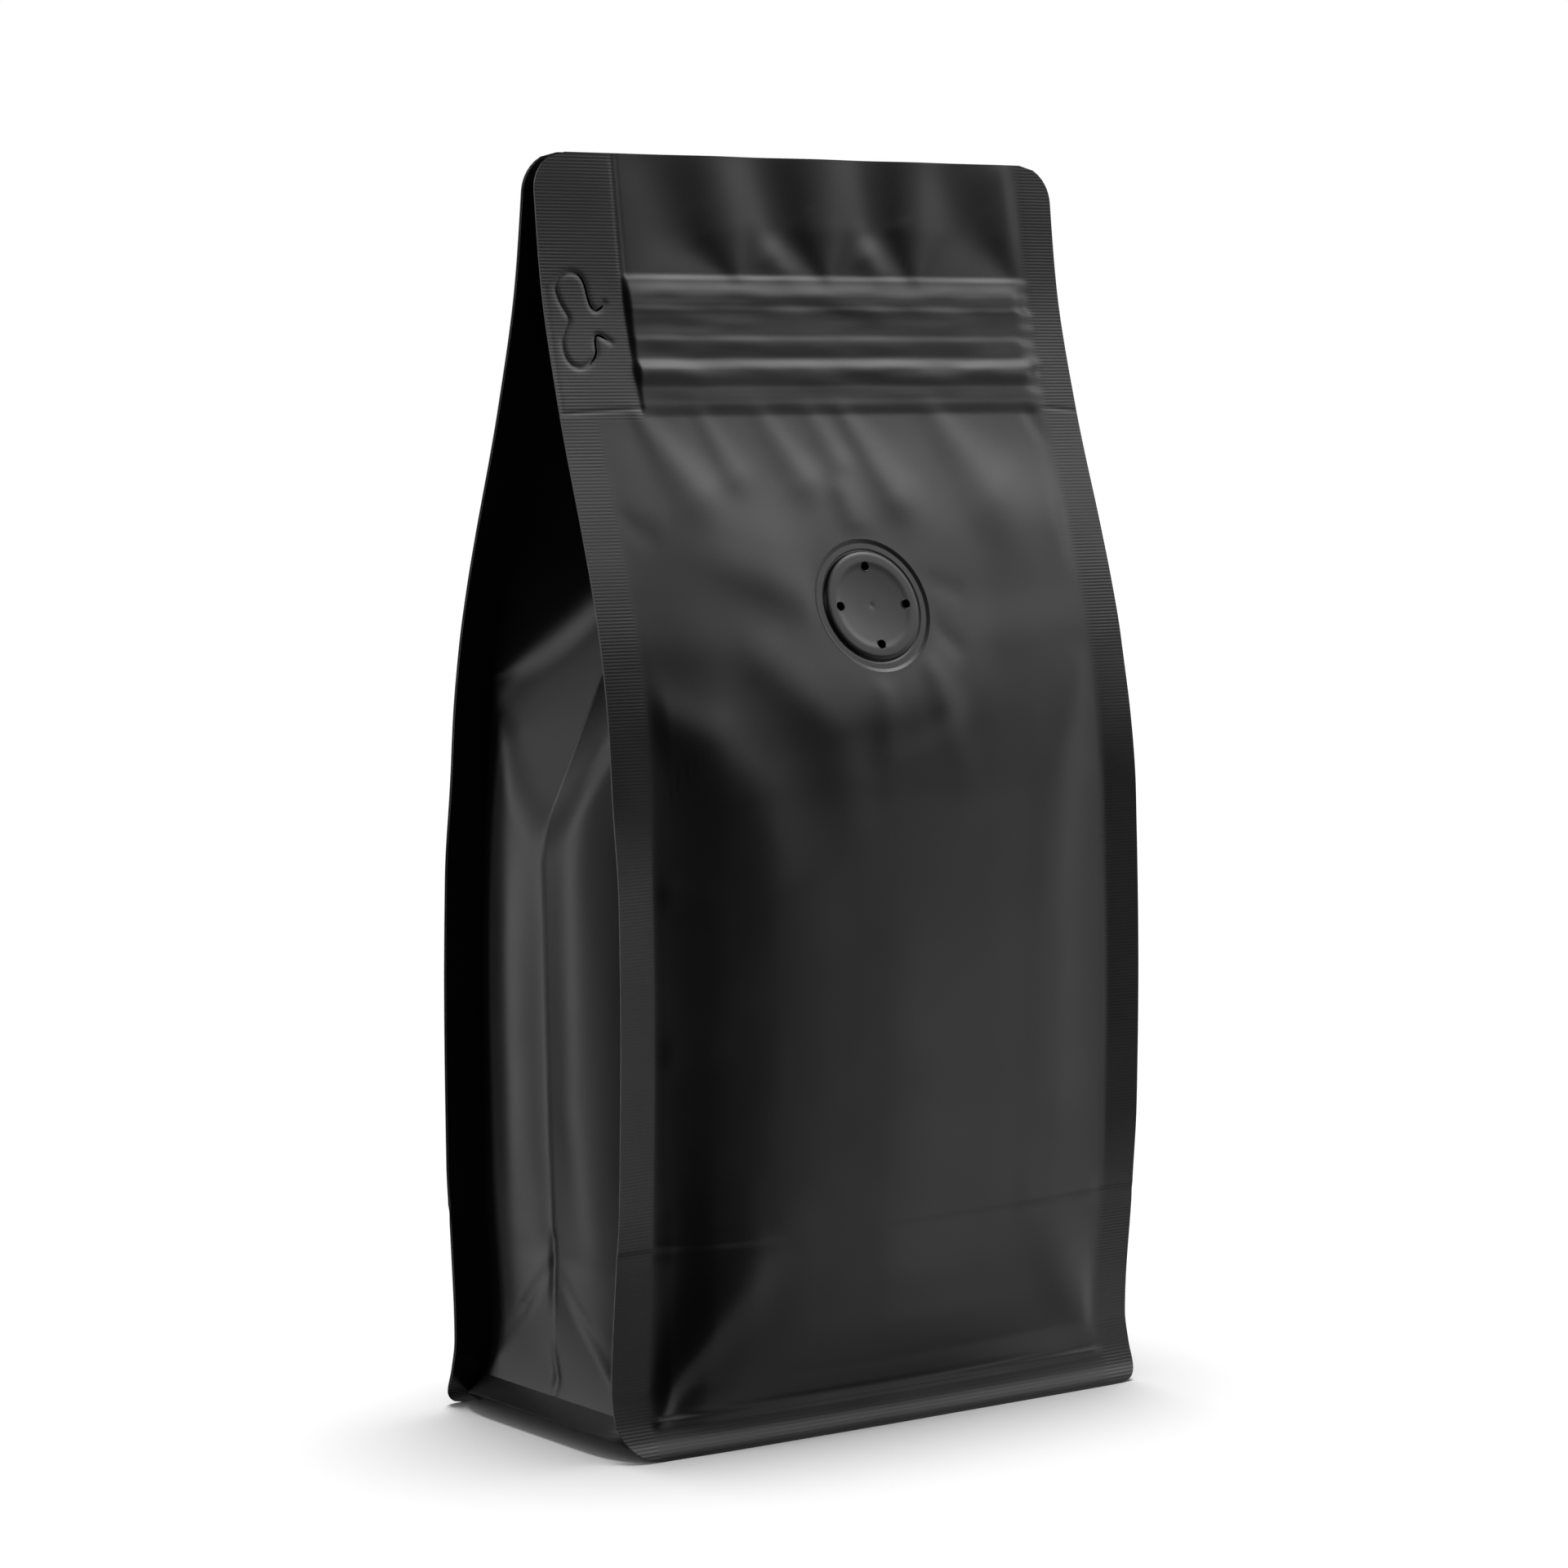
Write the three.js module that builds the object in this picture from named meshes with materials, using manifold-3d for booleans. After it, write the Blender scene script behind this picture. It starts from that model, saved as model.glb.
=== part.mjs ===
// A flat-bottom pouch of matt black laminate, shut, full and standing on its base.
// Millimetres, +Z up. The front panel faces -Y with +X to its right; the origin is the centre of the base.
//
// The pouch is one filled solid: a front and a back sheet with flat heat-sealed fins down both sides, a body
// between them whose side gussets are full at the bottom and folded in at the top, and a bottom seal that
// flares out all round. The round degassing valve and the die-cut pull tab are solids of their own, each in
// a recess of the front sheet.
import * as THREE from 'three';
import { mergeVertices } from 'three/addons/utils/BufferGeometryUtils.js';
import Module from 'manifold-3d';

// Driving dimensions.
const HEIGHT = 214.3;
const BASE_WIDTH = 110;
const TOP_WIDTH = 108.8;
const SHEET = 0.9;
const SIDE_SEAL = 7;
const TOP_CORNER_RADIUS = 6.5;
const BASE_CORNER_RADIUS = 8;
const GAP = 0.3;
const ROUND_SEGMENTS = 48;
const CUTTER_REACH = 4;

// [height, value] stations, from the base up: half the depth of the pouch at its side seals, the half width
// at the centre fold of the gussets, and how far the gusset walls and the big panels swell between their
// edges.
const HALF_DEPTH = [
  [0, 28.2], [7, 25.6], [12, 24.5], [35, 25.8], [70, 26.4], [106, 25.3],
  [132, 22.7], [151, 16.3], [172, 9.4], [193, 4], [HEIGHT, 1.3],
];
const CENTRE_FOLD = [
  [8, 48.2], [31, 50.4], [77, 51.5], [101, 52], [132, 38.8], [151, 28.5], [172, 23], [HEIGHT, 21],
];
const GUSSET_SWELL = [[7, 0], [35, 1.4], [80, 2], [101, 1.6], [128, 0.3], [160, 0.8], [HEIGHT, 0]];
const PANEL_SWELL = [[6, 0], [20, 3.6], [38, 5], [95, 4.8], [130, 2.6], [160, 0.8], [171, 0]];

// The bottom seal and the bottom panel inside it, which the contents press down onto the surface.
const SEAM_HEIGHT = 6;
const BASE_INSET = 7;
const SIDE_SKIRT_REACH = 54.6;
const SIDE_SKIRT_RISE = 3.6;
const SIDE_SKIRT_SQUARENESS = 8;
const SKIRT_CORNER = 27;

// The band over the press-to-close zip: its edges, its ribs' heights and their size.
const ZIP_BOTTOM = 170.5;
const ZIP_TOP = 193.4;
const ZIP_RIBS = [175.3, 179.1, 183.6, 188.9];
const RIB_HALF_WIDTH = 1.4;
const RIB_RISE = 0.55;
const ZIP_RISE = 0.35;
const ZIP_RAMP = 0.8;
const STEP = 0.4;
const WIDE_SEAL = 16;

// The degassing valve, and where it sits on the front panel.
const VALVE_HEIGHT = 139;
const VALVE_RADIUS = 11.8;
const VALVE_DISC_RADIUS = 9.6;
const VALVE_DISH_RADIUS = 7.2;
const VALVE_SEAT_DEPTH = 1.1;
const VALVE_HOLE_RADIUS = 0.7;
const VALVE_HOLE_CIRCLE = 6.9;
const VALVE_HOLES = 4;
const VALVE_HOLE_SEGMENTS = 10;
const VALVE_FLAT = 13;
const VALVE_BLEND = 22;

// The pull tab: points round it, as [distance from the sheet's left edge, height].
const TAB_THICKNESS = 0.4;
const TAB_SEGMENTS = 52;
const TAB_OUTLINE = [
  [11.9, 188.6], [9.7, 188], [8.6, 189.3], [7.7, 192], [5.1, 194.2], [2.3, 191.4], [4.1, 187.8], [4.2, 185.8],
  [2.6, 182.2], [5.9, 178.5], [9.3, 181.6], [9.1, 184.1], [11.9, 183.8],
];

const wasm = await Module();
wasm.setup();

// A smooth curve through [height, value] stations that never overshoots them, level beyond its ends.
function smoothCurve(stations) {
  const rise = (i) => (stations[i + 1][1] - stations[i][1]) / (stations[i + 1][0] - stations[i][0]);
  const last = stations.length - 1;
  const slopes = stations.map((_, i) => {
    if (i === 0 || i === last) return 0;
    const before = rise(i - 1);
    const after = rise(i);
    return before * after > 0 ? (2 * before * after) / (before + after) : 0;
  });
  slopes[last] = rise(last - 1);
  return (height) => {
    if (height <= stations[0][0]) return stations[0][1];
    if (height >= stations[last][0]) return stations[last][1];
    const i = stations.findIndex((station) => station[0] > height) - 1;
    const span = stations[i + 1][0] - stations[i][0];
    const t = (height - stations[i][0]) / span;
    const bend = t * t * (3 - 2 * t);
    const lift = slopes[i] * t * (1 - t) * (1 - t) - slopes[i + 1] * t * t * (1 - t);
    return stations[i][1] + bend * (stations[i + 1][1] - stations[i][1]) + lift * span;
  };
}

const halfDepth = smoothCurve(HALF_DEPTH);
const centreFold = smoothCurve(CENTRE_FOLD);
const gussetSwell = smoothCurve(GUSSET_SWELL);
const panelSwell = smoothCurve(PANEL_SWELL);

// The half width of a big panel, with its corners rounded.
function halfWidth(height) {
  const straight = THREE.MathUtils.lerp(BASE_WIDTH, TOP_WIDTH, height / HEIGHT) / 2;
  const below = Math.min(height / BASE_CORNER_RADIUS, 1) - 1;
  const above = Math.min((HEIGHT - height) / TOP_CORNER_RADIUS, 1) - 1;
  const cutBelow = BASE_CORNER_RADIUS * (1 - Math.sqrt(1 - below * below));
  const cutAbove = TOP_CORNER_RADIUS * (1 - Math.sqrt(1 - above * above));
  return straight - cutBelow - cutAbove;
}

// The half width between the side seals, where the gussets start.
function sealLine(height) {
  return THREE.MathUtils.lerp(BASE_WIDTH, TOP_WIDTH, height / HEIGHT) / 2 - SIDE_SEAL;
}

// Where the outer face of a big panel is, as a distance from the middle plane, before its relief.
function panelDepth(x, height) {
  const across = Math.min(Math.abs(x) / sealLine(height), 1);
  return halfDepth(height) + panelSwell(height) * (1 - across * across);
}

// The stiff valve holds the front panel flat around it: a tilted plane that fades into the panel.
const valveDepth = panelDepth(0, VALVE_HEIGHT);
const valveSlope = (panelDepth(0, VALVE_HEIGHT + 1) - panelDepth(0, VALVE_HEIGHT - 1)) / 2;

function frontDepth(x, height) {
  const away = Math.hypot(x, height - VALVE_HEIGHT);
  const flat = 1 - THREE.MathUtils.smoothstep(away, VALVE_FLAT, VALVE_BLEND);
  const plane = valveDepth + valveSlope * (height - VALVE_HEIGHT);
  return THREE.MathUtils.lerp(panelDepth(x, height), plane, flat) + zipRelief(x, height);
}

// Where the zip starts, at the inner edge of the wide left seal.
function zipLeft(height) {
  return WIDE_SEAL - SIDE_SEAL - sealLine(height);
}

// The raised band and ribs that the zip presses into the front panel, between its two side seals.
function zipRelief(x, height) {
  if (height < ZIP_BOTTOM || height > ZIP_TOP) return 0;
  const outside = Math.max(zipLeft(height) - x, x - sealLine(height), 0);
  const ribs = ZIP_RIBS.map((rib) => Math.max(0, 1 - Math.abs(height - rib) / RIB_HALF_WIDTH));
  return Math.max(0, 1 - outside / ZIP_RAMP) * (ZIP_RISE + RIB_RISE * Math.max(...ribs));
}

// A closed geometry from points and triangles, as a manifold solid.
function solidOf(geometry) {
  const bare = geometry.clone();
  bare.deleteAttribute('normal');
  bare.deleteAttribute('uv');
  const merged = mergeVertices(bare, 1e-4);
  return new wasm.Manifold(new wasm.Mesh({
    numProp: 3,
    vertProperties: new Float32Array(merged.attributes.position.array),
    triVerts: new Uint32Array(merged.index.array),
  }));
}

function geometryOf(solid) {
  const mesh = solid.getMesh();
  const geometry = new THREE.BufferGeometry();
  geometry.setAttribute('position', new THREE.BufferAttribute(new Float32Array(mesh.vertProperties), 3));
  geometry.setIndex(new THREE.BufferAttribute(new Uint32Array(mesh.triVerts), 1));
  return geometry;
}

function geometryFrom(points, triangles) {
  const geometry = new THREE.BufferGeometry().setFromPoints(points);
  geometry.setIndex(triangles);
  return geometry;
}

// A thin closed sheet between two grids of points. Rows run up, columns to the right as seen from outside.
function sheetBetween(outerRows, innerRows) {
  const rows = outerRows.length;
  const columns = outerRows[0].length;
  const points = [...outerRows.flat(), ...innerRows.flat()];
  const lastRow = rows - 1;
  const lastColumn = columns - 1;
  const outer = (row, column) => row * columns + column;
  const inner = (row, column) => rows * columns + row * columns + column;
  const triangles = [];
  const quad = (a, b, c, d) => triangles.push(a, b, c, a, c, d);
  for (let row = 0; row < lastRow; row++) {
    const above = row + 1;
    for (let column = 0; column < lastColumn; column++) {
      const right = column + 1;
      quad(outer(row, column), outer(row, right), outer(above, right), outer(above, column));
      quad(inner(row, column), inner(above, column), inner(above, right), inner(row, right));
    }
    quad(outer(row, 0), outer(above, 0), inner(above, 0), inner(row, 0));
    quad(outer(row, lastColumn), inner(row, lastColumn), inner(above, lastColumn), outer(above, lastColumn));
  }
  for (let column = 0; column < lastColumn; column++) {
    const right = column + 1;
    quad(outer(0, column), inner(0, column), inner(0, right), outer(0, right));
    quad(outer(lastRow, column), outer(lastRow, right), inner(lastRow, right), inner(lastRow, column));
  }
  return geometryFrom(points, triangles);
}

// A closed body through level outlines with the same number of points, anticlockwise seen from above.
function bodyThrough(outlines) {
  const count = outlines[0].length;
  const points = outlines.flat();
  const triangles = [];
  for (let level = 0; level < outlines.length - 1; level++) {
    for (let i = 0; i < count; i++) {
      const a = level * count + i;
      const b = level * count + ((i + 1) % count);
      triangles.push(a, b, b + count, a, b + count, a + count);
    }
  }
  const flat = (outline) => outline.map((point) => new THREE.Vector2(point.x, point.y));
  const cap = (outline) => THREE.ShapeUtils.triangulateShape(flat(outline), []);
  const top = (outlines.length - 1) * count;
  cap(outlines[0]).forEach(([a, b, c]) => triangles.push(a, c, b));
  cap(outlines.at(-1)).forEach(([a, b, c]) => triangles.push(top + a, top + b, top + c));
  return geometryFrom(points, triangles);
}

// Evenly spaced numbers from start to end, both included.
function spaced(start, end, steps) {
  return Array.from({ length: steps + 1 }, (_, i) => THREE.MathUtils.lerp(start, end, i / steps));
}

// The levels at which the sheets are cut, closer where they turn or carry ribs.
function sheetLevels(withZip) {
  const foot = [0, 0.9, 2, 3.6, SEAM_HEIGHT, 8, 10, 13, 18, 26, 35];
  const wall = spaced(45, 163, 16);
  const ribs = ZIP_RIBS.flatMap((rib) => spaced(rib - RIB_HALF_WIDTH, rib + RIB_HALF_WIDTH, 2));
  const zip = [ZIP_BOTTOM - STEP, ZIP_BOTTOM, ...ribs, ZIP_TOP, ZIP_TOP + STEP];
  const band = withZip ? zip : spaced(ZIP_BOTTOM, ZIP_TOP, 3);
  const rounding = spaced(0, Math.PI / 2, 5).map((a) => HEIGHT - TOP_CORNER_RADIUS * (1 - Math.sin(a)));
  return [...foot, ...wall, ...band, 200, ...rounding];
}

// Where the panels' columns are, as shares of the way from the middle to the side seals.
const PANEL_COLUMNS = spaced(-1, 1, 12);

// A big panel with its side fins. depthAt gives its outer face; face is -1 for the front and +1 for the back.
function bigSheet(face, depthAt, withZip) {
  const columns = (height) => {
    const wide = halfWidth(height);
    const seal = Math.min(sealLine(height), wide - GAP);
    const panel = PANEL_COLUMNS.map((u) => u * seal);
    const zip = withZip ? [zipLeft(height) - ZIP_RAMP, zipLeft(height), (seal + wide) / 2] : [];
    return [-wide, ...panel, ...zip, wide].sort((a, b) => a - b).map((x) => -face * x);
  };
  const surface = (inset) => sheetLevels(withZip).map((height) => (
    columns(height).map((x) => new THREE.Vector3(x, face * (depthAt(x, height) - inset), height))
  ));
  return solidOf(sheetBetween(surface(0), surface(SHEET)));
}

// One level outline of the body between the sheets. Its front and back lie inside the sheets' thickness.
function bodyOutline(height) {
  const rise = Math.min(height / SEAM_HEIGHT, 1);
  const inset = BASE_INSET * (1 - Math.sqrt(1 - (1 - rise) * (1 - rise)));
  const level = Math.max(height, SEAM_HEIGHT);
  const seal = sealLine(level) - inset;
  const depth = (x) => panelDepth(x, level) - SHEET / 2 - inset;
  const fold = centreFold(level) - inset;
  const corner = depth(sealLine(level));
  const front = PANEL_COLUMNS.map((u) => new THREE.Vector3(u * seal, -depth(u * seal), height));
  const gusset = spaced(0, 1, 10).slice(1, -1).map((v) => {
    const towardsFold = 1 - Math.abs(2 * v - 1);
    const swell = gussetSwell(level) * Math.sin(Math.PI * towardsFold);
    const x = THREE.MathUtils.lerp(seal, fold, towardsFold) + swell;
    return new THREE.Vector3(x, THREE.MathUtils.lerp(-corner, corner, v), height);
  });
  const half = [...front, ...gusset];
  return [...half, ...half.map((p) => new THREE.Vector3(-p.x, -p.y, p.z))];
}

function body() {
  const foot = [0, 0.8, 2.4, SEAM_HEIGHT, 9, 14, 22, 31];
  const levels = [...foot, ...spaced(44, 200, 24), 207, HEIGHT];
  return solidOf(bodyThrough(levels.map(bodyOutline)));
}

// The bottom seal along one gusset: a flap that runs out level and drops to the surface at its two corners.
function sideSkirt(side) {
  const along = spaced(-1, 1, 20);
  const surface = (drop) => spaced(0, 1, 3).map((out) => along.map((v) => {
    const end = v ** SIDE_SKIRT_SQUARENESS;
    const seam = sealLine(0) - SHEET;
    const edge = SIDE_SKIRT_REACH - (SIDE_SKIRT_REACH - sealLine(0)) * end;
    const rise = SHEET + SIDE_SKIRT_RISE * (1 - end);
    const x = THREE.MathUtils.lerp(seam, edge, out);
    const y = -side * v * THREE.MathUtils.lerp(halfDepth(SEAM_HEIGHT) - SHEET, SKIRT_CORNER, out);
    const z = THREE.MathUtils.lerp(SEAM_HEIGHT + SHEET / 2, rise, out);
    return new THREE.Vector3(side * x, y, z - drop);
  }));
  return solidOf(sheetBetween(surface(SHEET).reverse(), surface(0).reverse()));
}

// The valve's own frame: its centre on the front panel, and the turn that takes +Y to its outward direction.
const valveCentre = new THREE.Vector3(0, -valveDepth, VALVE_HEIGHT);
const valveOutward = new THREE.Vector3(0, -1, -valveSlope).normalize();
const valveTurn = new THREE.Quaternion().setFromUnitVectors(new THREE.Vector3(0, 1, 0), valveOutward);

// A round solid about the valve's axis, from [radius, height above the panel] points.
function valveTurned(profile) {
  const points = profile.map(([radius, height]) => new THREE.Vector2(radius, height));
  return new THREE.LatheGeometry(points, ROUND_SEGMENTS);
}

function valveSeat() {
  const radius = VALVE_RADIUS + GAP;
  const floor = -VALVE_SEAT_DEPTH;
  const cutter = valveTurned([[0, floor], [radius, floor], [radius, CUTTER_REACH], [0, CUTTER_REACH]]);
  cutter.applyQuaternion(valveTurn);
  cutter.translate(valveCentre.x, valveCentre.y, valveCentre.z);
  return solidOf(cutter);
}

// A sunk weld ring round a raised disc, which is dished inside its border and pierced by the vent holes.
function degassingValve() {
  const back = GAP - VALVE_SEAT_DEPTH;
  const rim = VALVE_RADIUS;
  const disc = VALVE_DISC_RADIUS;
  const dish = VALVE_DISH_RADIUS;
  const profile = [
    [0, back], [rim, back], [rim, -0.3], [disc + 0.5, -0.3], [disc + 0.1, -0.45],
    [disc - 0.1, 0.3], [disc - 0.5, 0.5], [dish + 0.4, 0.5], [dish - 0.4, 0.2], [1, 0.2], [0, 0.05],
  ];
  const radius = VALVE_HOLE_RADIUS;
  let valve = solidOf(valveTurned(profile));
  for (let i = 0; i < VALVE_HOLES; i++) {
    const angle = (i / VALVE_HOLES) * 2 * Math.PI;
    const hole = new THREE.CylinderGeometry(radius, radius, CUTTER_REACH, VALVE_HOLE_SEGMENTS);
    hole.translate(VALVE_HOLE_CIRCLE * Math.cos(angle), 0, VALVE_HOLE_CIRCLE * Math.sin(angle));
    valve = valve.subtract(solidOf(hole));
  }
  return geometryOf(valve);
}

// The tab's frame: the front sheet is nearly flat there, so the tab is a slab leaning with it.
const tabHeights = TAB_OUTLINE.map((point) => point[1]);
const tabLow = Math.min(...tabHeights);
const tabHigh = Math.max(...tabHeights);
const tabMiddle = (tabLow + tabHigh) / 2;
const tabLean = Math.atan((halfDepth(tabLow) - halfDepth(tabHigh)) / (tabHigh - tabLow));
const tabDepth = (halfDepth(tabLow) + halfDepth(tabHigh)) / 2;
const tabCentre = new THREE.Vector3(-halfWidth(tabMiddle), -tabDepth, tabMiddle);

// The tab's outline grown by a margin, extruded outwards from a depth below the sheet's face.
function tabSlab(margin, depth, thickness) {
  const stretch = 1 / Math.cos(tabLean);
  const outline = TAB_OUTLINE.map(([x, z]) => new THREE.Vector3(x, (z - tabMiddle) * stretch, 0));
  const curve = new THREE.CatmullRomCurve3(outline, true);
  const grown = curve.getPoints(TAB_SEGMENTS).slice(0, -1).map((point, i, ring) => {
    const before = ring[(i + ring.length - 1) % ring.length];
    const along = ring[(i + 1) % ring.length].clone().sub(before).normalize();
    return new THREE.Vector2(point.x + along.y * margin, point.y - along.x * margin);
  });
  const slab = new THREE.ExtrudeGeometry(new THREE.Shape(grown), { depth: thickness, bevelEnabled: false });
  slab.translate(0, 0, -depth);
  return slab;
}

function placeTab(object) {
  object.rotation.x = Math.PI / 2 - tabLean;
  object.position.copy(tabCentre);
  object.updateMatrix();
  return object;
}

function tabSeat() {
  const cutter = tabSlab(GAP, TAB_THICKNESS + GAP, CUTTER_REACH);
  return solidOf(cutter.applyMatrix4(placeTab(new THREE.Object3D()).matrix));
}

function pouch() {
  const shell = bigSheet(-1, frontDepth, true).add(bigSheet(1, panelDepth, false));
  const skirted = shell.add(body()).add(sideSkirt(-1)).add(sideSkirt(1));
  return geometryOf(skirted.subtract(valveSeat()).subtract(tabSeat()));
}

const laminate = new THREE.MeshStandardMaterial({ color: 0x242424, roughness: 0.5, metalness: 0 });
const valvePlastic = new THREE.MeshStandardMaterial({ color: 0x2a2a2a, roughness: 0.45, metalness: 0 });
const tabLaminate = new THREE.MeshStandardMaterial({ color: 0x2c2c2c, roughness: 0.55, metalness: 0 });

const pouchMesh = new THREE.Mesh(pouch(), laminate);
pouchMesh.name = 'pouch';

const valveMesh = new THREE.Mesh(degassingValve(), valvePlastic);
valveMesh.name = 'degassing_valve';
valveMesh.position.copy(valveCentre);
valveMesh.quaternion.copy(valveTurn);

const tabMesh = placeTab(new THREE.Mesh(tabSlab(0, TAB_THICKNESS, TAB_THICKNESS), tabLaminate));
tabMesh.name = 'pull_tab';

const part = new THREE.Group();
part.add(pouchMesh, valveMesh, tabMesh);

export default part;
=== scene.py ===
"""A flat-bottom pouch of matt black laminate, shut, full of dry goods and standing on its base.

Sizes are in millimetres until a mesh is made. The front panel faces -Y with +X to its right, and +Z is up.
The pouch is built as it is in film: a front and a back panel, two side gussets whose margins are sealed to
the panels as fins, and a bottom panel sealed into a skirt. The valve and the pull tab sit in the front panel.
"""
import math

import bpy
import numpy as np
from mathutils import Matrix, Vector


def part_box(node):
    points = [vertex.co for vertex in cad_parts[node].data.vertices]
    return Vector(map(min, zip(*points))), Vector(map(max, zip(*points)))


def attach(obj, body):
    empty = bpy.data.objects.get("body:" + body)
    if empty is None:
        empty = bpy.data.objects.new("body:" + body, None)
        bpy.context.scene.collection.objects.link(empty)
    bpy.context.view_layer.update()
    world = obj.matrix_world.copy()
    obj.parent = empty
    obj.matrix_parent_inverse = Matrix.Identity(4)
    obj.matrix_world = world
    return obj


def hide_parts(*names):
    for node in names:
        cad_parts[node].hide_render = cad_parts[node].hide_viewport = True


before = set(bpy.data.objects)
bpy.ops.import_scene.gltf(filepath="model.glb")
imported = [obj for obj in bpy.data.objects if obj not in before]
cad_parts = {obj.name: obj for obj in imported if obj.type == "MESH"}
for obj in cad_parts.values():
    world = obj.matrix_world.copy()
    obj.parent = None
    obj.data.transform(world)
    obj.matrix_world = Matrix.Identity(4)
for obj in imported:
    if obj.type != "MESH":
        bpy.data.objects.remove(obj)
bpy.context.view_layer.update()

MM = 0.001

# Driving sizes, in millimetres. The wide seal is the one beside the zip, on the left of the front panel.
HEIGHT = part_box("pouch")[1].z / MM
BASE_WIDTH = 109.96
TOP_WIDTH = 108.8
FILM = 0.24
SIDE_SEAL = 7.0
WIDE_SEAL = 16.0
TOP_CORNER_RADIUS = 6.5
FRONT_LEFT_RADIUS = 8.0
BASE_CORNER_RADIUS = 4.0

# The width of half a gusset's film, from the side seal to its centre fold.
GUSSET_FILM = 26.5

# The bottom seal: the height of its seam, and the skirt of sealed film under it. Under the gussets its edge
# reaches this far out and bows up this far off the table, between square ends.
SEAM_HEIGHT = 6.0
SKIRT_REACH = 54.6
SKIRT_RISE = 3.6
SKIRT_SQUARENESS = 8
# How far the bottom panel rolls in on its way from the seam down to the table, and how far under the seam it
# starts to.
BASE_INSET = 7.0
BOTTOM_BELOW_SEAM = 0.6
# The gusset's margins end this far inside the edges of the panels that they are sealed to.
FIN_STEP_BACK = 0.12
# How strongly the skirt is embossed, against the side seals' 1.
SKIRT_EMBOSS = 0.3
GUSSET_SKIRT_EMBOSS = 0.4

# [height, value] stations from the base up: half the depth at the side seals, the half width at the centre
# crease of the gussets, and how far the gusset halves and the big panels swell between their edges.
HALF_DEPTH = [
    (0, 28.2), (3.5, 26.6), (7, 25.4), (12, 24.5), (35, 25.8), (70, 26.4), (106, 25.4), (118, 24.5),
    (132, 22.1), (142, 19.4), (151, 16.5), (172, 9.4), (193, 4), (HEIGHT, 1.3),
]
CENTRE_CREASE = [(8, 50.1), (31, 50.4), (77, 51.5), (101.6, 52)]
GUSSET_SWELL = [(7, 0), (35, 1.4), (80, 2), (101, 1.6), (128, 0.3), (160, 0.8), (HEIGHT, 0)]
PANEL_SWELL = [
    (0, 0.5), (6, 1), (8, 2.4), (10.5, 3.7), (14, 4.7), (19, 5.3), (25, 5.4), (35, 5), (95, 4.6), (106, 4.5),
    (118, 3.7), (132, 2.4), (142, 1.6), (151, 1.1), (160, 0.6), (171, 0),
]

# How the swell of the front panel runs across it, at its foot and at its belly: [share of the way to the side
# seal, share of the swell].
FOOT_ACROSS = [
    (-1, 0), (-0.92, 0.12), (-0.77, 0.6), (-0.6, 0.86), (-0.38, 0.97), (-0.1, 1), (0.38, 0.71), (0.64, 0.47),
    (0.74, 0.37), (1, 0),
]
BELLY_ACROSS = [
    (-1, 0), (-0.95, 0.07), (-0.72, 0.62), (-0.52, 0.87), (-0.3, 0.97), (-0.05, 1), (0.38, 0.82), (0.64, 0.6),
    (0.74, 0.47), (1, 0),
]
# The heights between which the one gives way to the other.
FOOT_TO_BELLY = (34, 60)
# The back panel swells alike on both sides, flattest in its middle.
BACK_FLATNESS = 2.6

# How far the fins lean outwards for each millimetre from the seal: [height, lean] on the left and the right.
LEFT_LEAN = [
    (0, 0), (14, -0.02), (30, 0), (42, 0.11), (92, 0.12), (112, -0.06), (132, -0.03), (150, 0), (HEIGHT, 0),
]
RIGHT_LEAN = [(0, -0.05), (16, -0.05), (34, 0.02), (50, 0.13), (104, 0.14), (130, 0), (HEIGHT, 0)]

# The gusset tucks in above this height, along flat facets: the facet's fall for each millimetre up and rise
# for each millimetre towards the panel. The softness is the width over which its folds are rounded. Above the
# tuck the folded wall swells only from the heights given.
TUCK_HEIGHT = 101.6
TUCK_FALL = 0.466
TUCK_RISE = 0.297
FOLD_SOFTNESS = 2.6
FOLDED_SWELL = (126, 140)
# Below this height the centre crease opens into a flat triangle: how far it spreads for each millimetre down.
PLEAT_HEIGHT = 30.0
PLEAT_SPREAD = 0.9

# The zip band stands out from the panel by its rise, and its ribs from the band. They waver along the panel.
ZIP_BOTTOM = 170.5
ZIP_TOP = 193.4
# Each rib: height of its crest, rise, and how far it ramps up from above and runs out below.
RIB_SIZES = ("Crest", "Rise", "Above", "Below")
ZIP_RIBS = [
    (174.9, 0.07, 1.1, 1.8), (178.5, 0.5, 2.1, 4), (183.2, 0.13, 1.2, 3), (188.3, 0.1, 1.1, 3.2),
    (190.7, 0.5, 3.2, 14),
]
ZIP_RISE = 0.3
ZIP_WAVER = 0.8
# The share of the zip's relief that shows through each big panel.
FRONT_ZIP = 1.0
BACK_ZIP = 0.6

# The valve. The front panel is flat as far as one radius round it, and has its own shape from another on.
VALVE_HEIGHT = 139.0
VALVE_RADIUS = 11.8
VALVE_DISC_RADIUS = 9.6
VALVE_DISH_RADIUS = 7.2
VALVE_HOLES = 4
VENT_SIZES = {"Circle radius": 6.9, "Hole radius": 0.85, "Rim thickness": 0.09, "Depth": 6, "Rim height": 0.1}
VALVE_FLAT = 13.0
VALVE_BLEND = 27.0
# How far to each side of the panel the cutter of the valve's hole reaches.
VALVE_CUT = 8.0

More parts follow.
